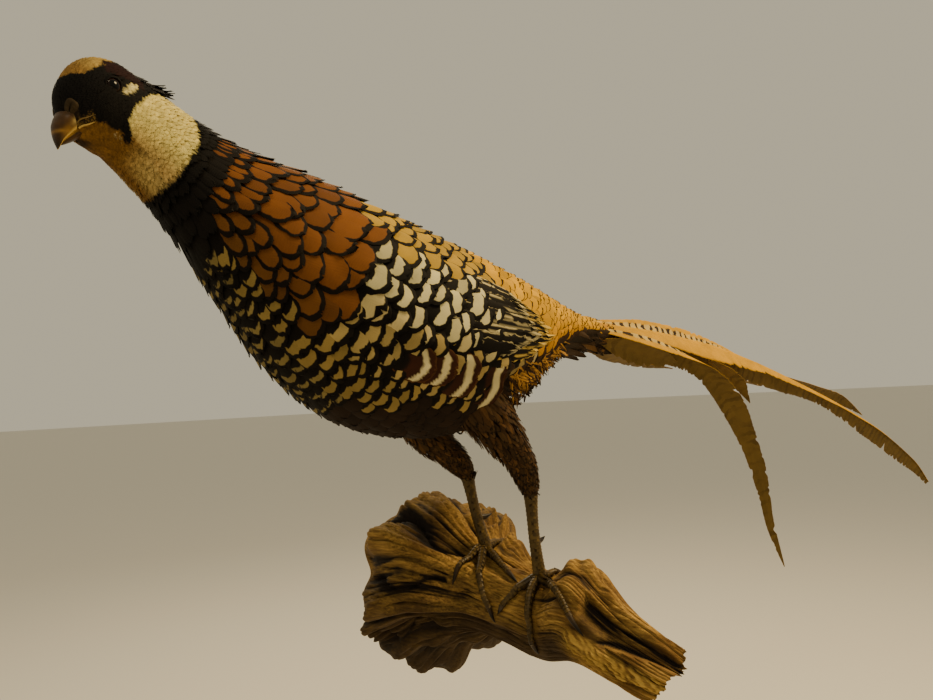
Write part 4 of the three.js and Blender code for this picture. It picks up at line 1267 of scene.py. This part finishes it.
def tail_material():
    """Above, bars by a wave along the shaft and gold beyond a share of the width; below, dull
    brown with faint bars. Both are shaded by the barbs and by dust."""
    material, tree, principled = surface_material(
        "barred tail feather", 0.66, Specular_IOR_Level=0.14)
    aside = add(tree, "ShaderNodeAttribute", attribute_name="Aside").outputs["Fac"]
    barb = add(tree, "ShaderNodeAttribute", attribute_name="Barb").outputs["Fac"]
    under = add(tree, "ShaderNodeAttribute", attribute_name="Under").outputs["Fac"]
    place = add(tree, "ShaderNodeTexCoord").outputs["Object"]
    ragged = add(tree, "ShaderNodeTexNoise", {"Vector": place, "Scale": 130.0, "Detail": 3.0})
    along = add(tree, "ShaderNodeAttribute", attribute_name="Along").outputs["Fac"]
    shifted = add(tree, "ShaderNodeMath", {0: ragged.outputs["Fac"], 1: 16.0, 2: along},
                  operation="MULTIPLY_ADD")
    turns = add(tree, "ShaderNodeMath", {0: shifted.outputs[0], 1: 2 * math.pi / BAR_PITCH},
                operation="MULTIPLY")
    wave = add(tree, "ShaderNodeMath", {0: turns.outputs[0]}, operation="SINE")
    bar = add(tree, "ShaderNodeMapRange", {"Value": wave.outputs[0], "From Min": 0.15,
                                           "From Max": 0.45})
    inner = add(tree, "ShaderNodeMix", {0: bar.outputs[0], 6: linear(0xC2A866),
                                        7: linear(0x2B1A0E)}, data_type="RGBA")
    strays = add(tree, "ShaderNodeMath", {0: ragged.outputs["Fac"], 1: 0.35, 2: aside},
                 operation="MULTIPLY_ADD")
    gold = add(tree, "ShaderNodeMapRange", {"Value": strays.outputs[0], "From Min": 0.52,
                                            "From Max": 0.66})
    top = add(tree, "ShaderNodeMix", {0: gold.outputs[0], 6: inner.outputs[2],
                                      7: linear(0xC4920C)}, data_type="RGBA")
    cloud = add(tree, "ShaderNodeTexNoise", {"Vector": place, "Scale": 38.0, "Detail": 2.0})
    faded = add(tree, "ShaderNodeMapRange", {"Value": cloud.outputs["Fac"], "From Min": 0.35,
                                             "From Max": 0.65, "To Max": 0.75})
    dull = add(tree, "ShaderNodeMath", {0: bar.outputs[0], 1: faded.outputs[0]},
               operation="MULTIPLY")
    # The underside: dull brown with faint bars, drawn darker than the top partly as painted shade.
    faint = add(tree, "ShaderNodeMix", {0: dull.outputs[0], 6: linear(0x6A5426),
                                        7: linear(0x4E3B1A)}, data_type="RGBA")
    both = add(tree, "ShaderNodeMix", {0: under, 6: top.outputs[2], 7: faint.outputs[2]},
               data_type="RGBA")
    fine = add(tree, "ShaderNodeMath", {0: barb, 1: 2 * math.pi / BARB_PITCH},
               operation="MULTIPLY")
    ripple = add(tree, "ShaderNodeMath", {0: fine.outputs[0]}, operation="SINE")
    dust = add(tree, "ShaderNodeTexNoise", {"Vector": place, "Scale": 60.0, "Detail": 4.0})
    level = add(tree, "ShaderNodeMath", {0: ripple.outputs[0], 1: 0.25,
                                         2: dust.outputs["Fac"]}, operation="MULTIPLY_ADD")
    shade = add(tree, "ShaderNodeMapRange", {"Value": level.outputs[0], "From Min": 0.2,
                                             "From Max": 0.8, "To Min": 0.72, "To Max": 1.15})
    tone = add(tree, "ShaderNodeCombineColor", dict.fromkeys(range(3), shade.outputs[0]))
    final = add(tree, "ShaderNodeMix", {0: 1.0, 6: both.outputs[2], 7: tone.outputs[0]},
                data_type="RGBA", blend_type="MULTIPLY")
    bump = add(tree, "ShaderNodeBump", {"Height": ripple.outputs[0], "Strength": 0.2,
                                        "Distance": 0.0005})
    tree.links.new(final.outputs[2], principled.inputs["Base Color"])
    tree.links.new(bump.outputs[0], principled.inputs["Normal"])
    return material


TAIL = tail_material()


# %% Tail feathers
VANE_THICK = 0.5  # mm
VANE_SLANT = 0.8  # how far a barb runs forward for each mm out from the shaft


def strip(shaft, near, far, near_slope, far_slope, *, rows=200, notches=14, gold=(0.0, 0.0)):
    """A closed strip along a shaft. The near vane leaves the shaft along level * cos(slope) -
    face * sin(slope), the far vane along its mirror image with its own slope: level points to
    the bird's left and face upward from the shaft. Rows slant forward by VANE_SLANT * |u| * half
    width. Gold is how much further in the gold edges of the far and near vane reach, as a share."""
    shaft = np.asarray(shaft, float)
    lengths = np.append(0, np.cumsum(np.linalg.norm(np.diff(shaft, axis=0), axis=1)))
    length = float(lengths[-1])
    u = np.array([-1, -0.88, -0.7, -0.45, -0.2, -0.06, 0.06, 0.2, 0.45, 0.7, 0.88, 1])
    s = np.linspace(0, 1, rows)
    s_mesh, u_mesh = np.meshgrid(s, u, indexing="ij")
    halves = []
    for widths in (far, near):
        worn = 1 + 0.02 * rng.standard_normal(rows)
        spots = rng.uniform(0.12, 1.0, notches)
        for at, deep, wide in zip(spots, rng.uniform(0.05, 0.28, notches) + 0.45 * spots ** 8,
                                  rng.uniform(0.8, 3.0, notches) / length):
            worn -= deep * np.exp(-(((s - at) / wide) ** 2))
        whole = through(widths, s * (len(widths) - 1))
        halves.append(np.maximum(whole * np.maximum(worn, 0.3), 0.25))
    side = u_mesh > 0
    half = np.where(side, halves[1][:, None], halves[0][:, None])
    pushed = s_mesh + VANE_SLANT * abs(u_mesh) * half / length * (1 - s_mesh ** 6)
    at = np.interp(pushed * length, lengths, np.arange(len(shaft)))
    point = through(shaft, at)
    ahead = unit(through(shaft, np.minimum(at + 0.02, len(shaft) - 1)) - through(shaft, at - 0.02))
    level = unit(np.cross(ahead, [0, 0, 1]))
    face = np.cross(level, ahead)
    slopes = [np.radians(through(x, s * (len(x) - 1)))[:, None] for x in (far_slope, near_slope)]
    slope = np.where(side, slopes[1], slopes[0])
    cosine, sine = np.cos(slope)[..., None], np.sin(slope)[..., None]
    sign = np.where(side, 1.0, -1.0)[..., None]
    out = sign * level * cosine - face * sine
    up = face * cosine + sign * level * sine
    reach = abs(u_mesh) * half
    quill = 1.1 * np.exp(-((reach / 1.8) ** 2)) * (1 - 0.75 * s_mesh)
    bend = 0.10 * half * (abs(u_mesh) - u_mesh ** 2) + 0.03 * half * np.sin(
        s_mesh * length / 17 + 3 * u_mesh) * abs(u_mesh)
    top = point + out * reach[..., None] + up * (bend + quill + VANE_THICK / 2)[..., None]
    low = point + out * reach[..., None] + up * (bend - quill - VANE_THICK / 2)[..., None]
    grid = np.concatenate([top, low[:, ::-1]], 1)
    fields = {"Aside": abs(u_mesh) + np.where(side, gold[1], gold[0]),
              "Barb": pushed * length - 1.1 * reach,
              "Along": pushed * length - 0.35 * reach}
    data = {key: np.concatenate([x, x[:, ::-1]], 1) for key, x in fields.items()}
    data["Under"] = np.concatenate([0 * u_mesh, 0 * u_mesh + 1], 1)
    return grid, data


def feather_strip(name, replaces, *strips):
    """Joins strips into one piece, with a pole at each end of each."""
    parts, fields = [], {"Aside": [], "Barb": [], "Along": [], "Under": []}
    for grid, data in strips:
        parts.append(closed_loft(grid))
        for key, rows in data.items():
            fields[key].append(with_poles(rows).ravel())
    points, faces = joined(parts)
    mesh_piece(name, to_part(points), faces, TAIL, replaces=replaces,
               data={key: np.concatenate(rows) for key, rows in fields.items()})


# Shafts: x, y and z in bird mm, from the root of the feather to its tip.
CENTRAL_LEFT = [[97, -6, 248], [176, -13, 242], [237, -18, 234], [289, -21, 226], [343, -24, 213],
                [408, -25, 197], [539, -28, 160], [623, -29, 134], [730, -30, 97], [817, -30, 59],
                [870, -30, 32], [916, -30, -2]]
CENTRAL_RIGHT = [[97, 6, 249], [189, 10, 246], [245, 12, 241], [295, 14, 235], [347, 16, 228],
                 [404, 18, 216], [477, 20, 199], [559, 22, 184], [624, 22, 172], [722, 23, 153],
                 [807, 24, 118]]
DROOPING = [[97, -8, 243], [145, -26, 234], [200, -30, 219], [250, -32, 196], [290, -33, 160],
            [317, -33, 127], [340, -34, 87], [354, -34, 45], [364, -34, 5], [389, -34, -46]]
SPLIT_TIP = [[262, -30, 208], [300, -32, 193], [324, -33, 176], [339, -33, 156]]
INNER_RIGHT = [[97, 8, 240], [190, 20, 224], [330, 26, 204], [480, 28, 176]]
OUTER_LEFT = [[97, -10, 230], [150, -20, 220], [207, -24, 206]]
OUTER_RIGHT = [[97, 9, 232], [160, 19, 217], [275, 28, 202]]
# Each strip has its near and far half widths in mm, then its near and far slopes in degrees.
feather_strip("tail_long", ["tail_central_left"],
              strip(CENTRAL_LEFT, [8, 20, 26, 18, 12, 9, 7, 5, 4, 3, 1],
                    [8, 24, 28, 27, 21, 14, 16, 21, 21, 17, 6],
                    [56, 58, 50, 38, 26], [60, 62, 62, 60, 58], rows=260, notches=26,
                    gold=(0, 0.42)))
feather_strip("tail_second", ["tail_central_right"],
              strip(CENTRAL_RIGHT, [6, 10, 9, 7, 6, 6, 6, 5, 0.4],
                    [5, 13, 15, 12, 9, 12, 14, 12, 0.6], [30, 30, 20, 0, -10],
                    [-64, -66, -60, -30, 30, 52, 56], notches=20, gold=(-0.16, 0)))
feather_strip("tail_drooping", ["tail_inner_left"],
              strip(DROOPING, [6, 13, 15, 15, 16, 15, 11, 9, 6, 4, 0.5],
                    [6, 19, 19, 14, 12, 12, 10, 9, 6, 4, 0.5],
                    [50, 50, 5, -35, -41, -41, -41], [60, 60, 56, 46, 41, 41, 41], notches=16),
              strip(SPLIT_TIP, [3, 6, 6, 0.5], [3, 8, 8, 0.5], [-20, -41], [56, 41],
                    rows=60, notches=4))
feather_strip("tail_inner_right", ["tail_inner_right"],
              strip(INNER_RIGHT, [5, 14, 16, 12, 7, 0.6], [5, 22, 26, 18, 10, 0.6],
                    [10, 10, 10], [8, 4, 4], rows=120))
feather_strip("tail_outer", ["tail_outer_left", "tail_outer_right"],
              strip(OUTER_LEFT, [3, 12, 13, 8, 1], [4, 17, 16, 10, 1], [-38, -30], [64, 60],
                    rows=80, notches=10),
              strip(OUTER_RIGHT, [3, 7, 7, 5, 0.6], [4, 18, 20, 13, 0.6], [20, 20], [12, 6],
                    rows=80, notches=12))

# %% [markdown]
# ## Driftwood
# The root is old wood worn by water: long folds where it grew round something, knobs, a
# broken side branch, splits along the grain and a step where a slab broke off. Its surface is
# the plain root's, moved in and out in millimetres by folds drawn as lines on a map of distance
# from the wall and angle, and then by streaks that run with the grain.

# %% Folds and grain on the root
# From y and degrees, to y and degrees, then how wide and how high in mm; a groove is negative.
FOLDS = np.array([
    [-25, 22, -108, -6, 15, 8], [-15, 40, -116, 36, 5, -9], [-25, 54, -114, 57, 14, 8],
    [-30, 80, -108, 76, 5, -7], [-15, 96, -90, 100, 12, 6], [-20, 118, -80, 122, 7, -6],
    [-6, -12, -80, -30, 8, -8], [-84, -22, -126, -14, 9, 15], [-98, -30, -112, -24, 5, -9],
    [-120, 12, -180, 4, 6, -4], [-118, 30, -172, 30, 9, 4], [-120, 62, -200, 52, 5, -4],
    [-185, 20, -288, 26, 5, -4], [-190, 2, -288, 12, 6, 4], [-240, 36, -288, 36, 4, 3],
    [-200, 78, -288, 80, 9, 4], [-222, 104, -288, 96, 6, 3], [-195, -20, -288, -14, 7, -5],
    [-120, -50, -280, -60, 6, -4], [-110, 150, -280, 160, 8, -5], [-110, -110, -280, -100, 9, -6],
])
# y, degrees, how wide and how high in mm.
KNOBS = np.array([
    [-10, 112, 15, 11], [-28, 150, 17, 14], [-52, 172, 14, 12], [-72, 146, 13, 9],
    [-44, 128, 9, 6], [-88, 120, 8, 5], [-14, 78, 12, 7], [-96, 168, 12, 8], [-20, -60, 16, 9],
    [-60, -100, 18, 10], [-30, -150, 16, 12], [-225, -2, 9, 7], [-206, 8, 7, 5], [-243, 4, 7, 5],
    [-232, 96, 8, 5], [-84, -27, 5, -12], [-70, -22, 9, 12], [-100, -30, 12, 9],
    [-112, -40, 6, -9],
])


def streaks(y, angle, around, seed, wander=0.6):
    """Grain: the sum of nine waves that go many times round and hardly change along, bent by
    two slow waves; from -1 to 1."""
    draw = np.random.default_rng(seed)
    bend = wander * (np.sin(2 * angle + y / 34 + 1) + 0.6 * np.sin(3 * angle - y / 19))
    total = 0
    for k in draw.uniform(0.4, 1.6, 9):
        count = int(round(around * k))
        total = total + np.sin(count * (angle + 0.035 * bend) + y / draw.uniform(22, 90)
                               + draw.uniform(0, 2 * math.pi))
    return total / 4.5


ARM_MM_PER_DEGREE = 40.0 / 57.3  # the arm's radius in mm over the degrees in a radian
SLAB_DEPTH = 14.0  # mm


def root_relief(y, degrees):
    """The sum of folds, knobs, a broken-off slab and the grain, in mm."""
    angle = np.radians(degrees)
    mm_deg = ARM_MM_PER_DEGREE * lerp(2.0, 1.0, smooth(-y, 60, 115))
    relief = np.zeros(np.broadcast(y, degrees).shape)
    for y0, d0, y1, d1, wide, high in FOLDS:
        u = np.clip((y - y0) / (y1 - y0), 0, 1)
        bend = 5 * np.sin(2.6 * math.pi * u + d0)
        middle = lerp(d0, d1, u) + bend / ARM_MM_PER_DEGREE
        off = (((degrees - middle + 180) % 360) - 180) * mm_deg
        beyond = np.where((y - y1) * (y0 - y1) < 0, y - y1, 0)
        past = np.where((y - y0) * (y1 - y0) < 0, y - y0, beyond)
        cusp = 1.6 if high > 0 else 1.0  # ridges are round and grooves are sharp
        relief += high * np.exp(-abs(off / wide) ** cusp - (past / 12) ** 2)
    for y0, d0, wide, high in KNOBS:
        off = (((degrees - d0 + 180) % 360) - 180) * mm_deg
        relief += high * np.exp(-((off ** 2 + (y - y0) ** 2) / wide ** 2) ** 1.3)
    # The slab broke off outward of a clean step, and its bed runs on as a deep groove.
    bed = lerp(57, 44, smooth(-y, 231, 288))
    off = abs(degrees - bed) * ARM_MM_PER_DEGREE
    wide = lerp(16, 7, smooth(-y, 236, 280))
    gap = smooth(-y, 230.5, 232.5) * (1 - smooth(off, wide, wide + 4))
    relief -= SLAB_DEPTH * gap * (1 - 0.55 * smooth(-y, 240, 288))
    # A second, shallow step lies further in and fades outward.
    step = smooth(-y, 171, 172.5) * (1 - smooth(abs(degrees - 38), 8, 12))
    relief -= 4 * step * (1 - smooth(-y, 180, 215))
    # Ridges with sharp valleys between them: 1 - exp(-|wave| / width), at three sizes.
    big, coarse, fine = (streaks(y, angle, *turns) for turns in ((9, 3), (30, 5), (78, 7)))
    ridge = [1 - np.exp(-abs(wave) / width)
             for wave, width in ((big, 0.25), (coarse, 0.22), (fine, 0.3))]
    burl = 1 - smooth(-y, 90, 130)
    relief += lerp(3.0, 5.0, burl) * (ridge[0] - 0.7) + lerp(2.4, 5.0, burl) * (ridge[1] - 0.7)
    relief += lerp(1.3, 2.8, burl) * (ridge[2] - 0.6)
    valley = 1 - np.minimum(ridge[0] + 0.15, 1) * np.minimum(ridge[1] + 0.35, 1)
    # The last value marks the valleys and the slab's bed, for painted shade in the hollows.
    return relief, coarse, fine, np.maximum(valley, gap * (1 - 0.7 * smooth(-y, 245, 285)))


# %% The root's mesh
rows_y = np.concatenate([np.linspace(0, -60, 50, endpoint=False),
                         np.linspace(-60, -ROOT_LENGTH, 180)])
y, angle = paired(rows_y, circle(400))
degrees = np.degrees(angle)
degrees = (degrees + 180) % 360 - 180
relief, coarse, fine, valley = root_relief(y, degrees)
# Pith, the soft heart of the wood, lies open along the lower side of the arm and crumbles.
crumbs = streaks(y * 30, angle, 30, 21, wander=0)
band = np.interp(-y, [215, 225, 240, 265, 288], [101, 101, 98, 94, 88])
pith = smooth(-y, 216, 226) * (1 - smooth(abs(degrees - band), 8, 17)) * smooth(crumbs, -0.4, 0.25)
relief = (relief + 2.0 * crumbs * pith) * smooth(-y, -1, 10)
# Where a toe, a claw or a sole touches, the wood stays close to its plain height.
touch = np.concatenate([np.concatenate([line["shank"][-1:]] + [
    path[::2] for path in list(line["toes"].values()) + list(line["claws"].values())])
    for line in LINES.values()])
touch = to_part(touch) / MM
plain = root_surface(y, degrees)
near = np.full(y.shape, 1e9)
for spot in touch:
    near = np.minimum(near, ((plain - spot) ** 2).sum(-1))
bare = smooth(np.sqrt(near), 5, 13)
relief = relief * lerp(0.12, 1.0, bare)
# The end is broken off aslant: its top and its side towards -X reach further out.
torn = (17 * np.sin(angle) + 17 * np.cos(angle) + 2 * np.sin(2 * angle + math.radians(60))
        + 1.4 * coarse + 0.8 * fine) * smooth(-y / ROOT_LENGTH, 0.78, 1)
place = root_surface(y, degrees, relief)
place[..., 1] -= torn
CUT_SHARES = np.array([0.93, 0.8, 0.6, 0.35, 0.12])[:, None, None]
broken = lerp(place[-1].mean(0), place[-1], CUT_SHARES)
broken[..., 1] += ((1 - CUT_SHARES[..., 0]) * 3
                   + 0.5 * np.sin(broken[..., 0] * 1.3 + broken[..., 2] * 0.7))
sawn = lerp(place[0].mean(0), place[0], CUT_SHARES[::-1] ** 0.2)
points, faces = closed_loft(np.concatenate([sawn, place, broken]))


def with_ends(values, end):
    """A value for each ring of the loft: the poles and rings of both ends take one number."""
    face = np.full((len(CUT_SHARES) + 1, values.shape[1]), end)
    return np.concatenate([face, values, face])


# How far a place stands out from the wood beside it, and a painted shade that darkens
# the root away from its top, less towards its broken end.
local = relief - sum(np.roll(relief, columns, 1) for columns in (7, -7, 14, -14)) / 4
shade_start = lerp(48, 66, smooth(-y, 90, 130))
painted_underside_shade = smooth(abs(degrees - 5), shade_start, 112) * (1 - smooth(-y, 205, 240))


def driftwood_material():
    """Weathered wood: grey-tan ridges, matt, grain 1 to 3 mm wide; painted shade makes the hollows
    dark brown and darkens the lower side.
    """
    material, tree, principled = surface_material("weathered driftwood", 0.82,
                                                  Specular_IOR_Level=0.25)
    hollow_shade = add(tree, "ShaderNodeAttribute", attribute_name="HollowShade").outputs["Fac"]
    pith_part = add(tree, "ShaderNodeAttribute", attribute_name="Pith").outputs["Fac"]
    dim = add(tree, "ShaderNodeAttribute", attribute_name="Dim").outputs["Fac"]
    place_node = add(tree, "ShaderNodeTexCoord").outputs["Object"]
    stretched = add(tree, "ShaderNodeMapping", {"Vector": place_node, "Scale": (1.0, 0.09, 1.0),
                                                "Rotation": (0.0, 0.0, 0.12)})
    grain = add(tree, "ShaderNodeTexNoise", {"Vector": stretched.outputs[0], "Scale": 520.0,
                                             "Detail": 5.0, "Roughness": 0.62})
    blotch = add(tree, "ShaderNodeTexNoise", {"Vector": place_node, "Scale": 28.0, "Detail": 4.0})
    light = add(tree, "ShaderNodeMapRange", {"Value": grain.outputs["Fac"], "From Min": 0.32,
                                             "From Max": 0.68})
    wood = add(tree, "ShaderNodeMix", {0: light.outputs[0], 6: linear(0x60451E),
                                       7: linear(0xBC954A)}, data_type="RGBA")
    patches = add(tree, "ShaderNodeMapRange", {"Value": blotch.outputs["Fac"], "From Min": 0.42,
                                               "From Max": 0.62, "To Max": 0.7})
    browner = add(tree, "ShaderNodeMix", {0: patches.outputs[0], 6: wood.outputs[2],
                                          7: linear(0x5E4018)}, data_type="RGBA")
    ochre = add(tree, "ShaderNodeMix", {0: pith_part, 6: browner.outputs[2],
                                        7: linear(0xC8A24C)}, data_type="RGBA")
    # Painted shade in the hollows and valleys.
    darker = add(tree, "ShaderNodeMix", {0: hollow_shade, 6: ochre.outputs[2], 7: linear(0x1C130B)},
                 data_type="RGBA")
    # Painted shade on the root away from its top, and a little on its cut ends.
    dimmer = add(tree, "ShaderNodeMix", {0: dim, 6: darker.outputs[2], 7: linear(0x20160C)},
                 data_type="RGBA")
    bump = add(tree, "ShaderNodeBump", {"Height": grain.outputs["Fac"], "Strength": 0.5,
                                        "Distance": 0.0012})
    tree.links.new(dimmer.outputs[2], principled.inputs["Base Color"])
    tree.links.new(bump.outputs[0], principled.inputs["Normal"])
    return material


WOOD = driftwood_material()
# Painted shade: the hollows, the valleys between ridges and the slab's bed are darkened, and the
# cut ends a little.
hollow_shade = np.clip(smooth(-local, 0.3, 4.5) * 0.75 + 0.65 * valley, 0, 1)
mesh_piece("driftwood_root", points * MM, faces, WOOD, replaces=["driftwood"],
           data={"HollowShade": with_ends(hollow_shade, 0.45), "Pith": with_ends(0.8 * pith, 0.1),
                 "Dim": with_ends(0.86 * painted_underside_shade, 0.3)})

# %% [markdown]
# ## Floor, light and camera

# %% Floor
FLOOR_Z, FLOOR_HALF = -0.45, 60.0  # m
paper, _, _ = surface_material("pale backdrop paper", 0.9, Base_Color=linear(0xDAD5CA))
corners = [(FLOOR_HALF * x, FLOOR_HALF * y, FLOOR_Z)
           for x, y in ((-1, -1), (1, -1), (1, 1), (-1, 1))]
floor_mesh = bpy.data.meshes.new("floor")
floor_mesh.from_pydata(corners, [], [(0, 1, 2, 3)])
floor_mesh.materials.append(paper)
floor = bpy.data.objects.new("floor", floor_mesh)
bpy.context.collection.objects.link(floor)
print("floor at", FLOOR_Z, "m")


# %% Lights
def area_light(name, place, target, size, power, code):
    """A soft square light at place, facing target."""
    light = bpy.data.lights.new(name, "AREA")
    light.shape, light.size, light.energy = "SQUARE", size, power
    light.color = linear(code)[:3]
    lamp = bpy.data.objects.new(name, light)
    bpy.context.collection.objects.link(lamp)
    away = Vector(place) - Vector(target)
    lamp.location = place
    lamp.rotation_euler = away.to_track_quat("Z", "Y").to_euler()
    return lamp


area_light("key", (0.75, -1.1, 1.6), (0, -0.15, 0.2), 0.6, 46, 0xFFDFA4)
area_light("fill", (-0.92, -0.63, 1.33), (-0.2, -0.15, 0.3), 0.15, 3.5, 0xFFEBC4)
area_light("rim", (0.6, 1.2, 1.4), (0, -0.15, 0.2), 0.8, 14, 0xFFEBC4)
world = bpy.data.worlds.new("studio")
bpy.context.scene.world = world
world.use_nodes = True
background = world.node_tree.nodes["Background"]
background.inputs["Color"].default_value = linear(0xF8ECCC)
background.inputs["Strength"].default_value = 0.56

# %% Camera
SENSOR = 36.0  # mm
FOCAL, PICTURE_WIDTH = 710, 933  # pixels
camera_data = bpy.data.cameras.new("camera")
camera_data.sensor_fit = "HORIZONTAL"
camera_data.sensor_width = SENSOR
camera_data.lens = FOCAL / PICTURE_WIDTH * SENSOR
camera = bpy.data.objects.new("camera", camera_data)
bpy.context.collection.objects.link(camera)
RIGHT = (0.66181, -0.74797, -0.05047)
UP = (-0.01895, -0.08399, 0.99629)
FORWARD = (0.74943, 0.65839, 0.06976)
CAMERA_PLACE = (-0.535, -0.546, 0.177)
placed = np.eye(4)
placed[:3, 0], placed[:3, 1], placed[:3, 2] = RIGHT, UP, -np.array(FORWARD)
placed[:3, 3] = CAMERA_PLACE
camera.matrix_world = Matrix(placed.tolist())
bpy.context.scene.camera = camera
print("lens", round(camera_data.lens, 2), "mm at", CAMERA_PLACE)
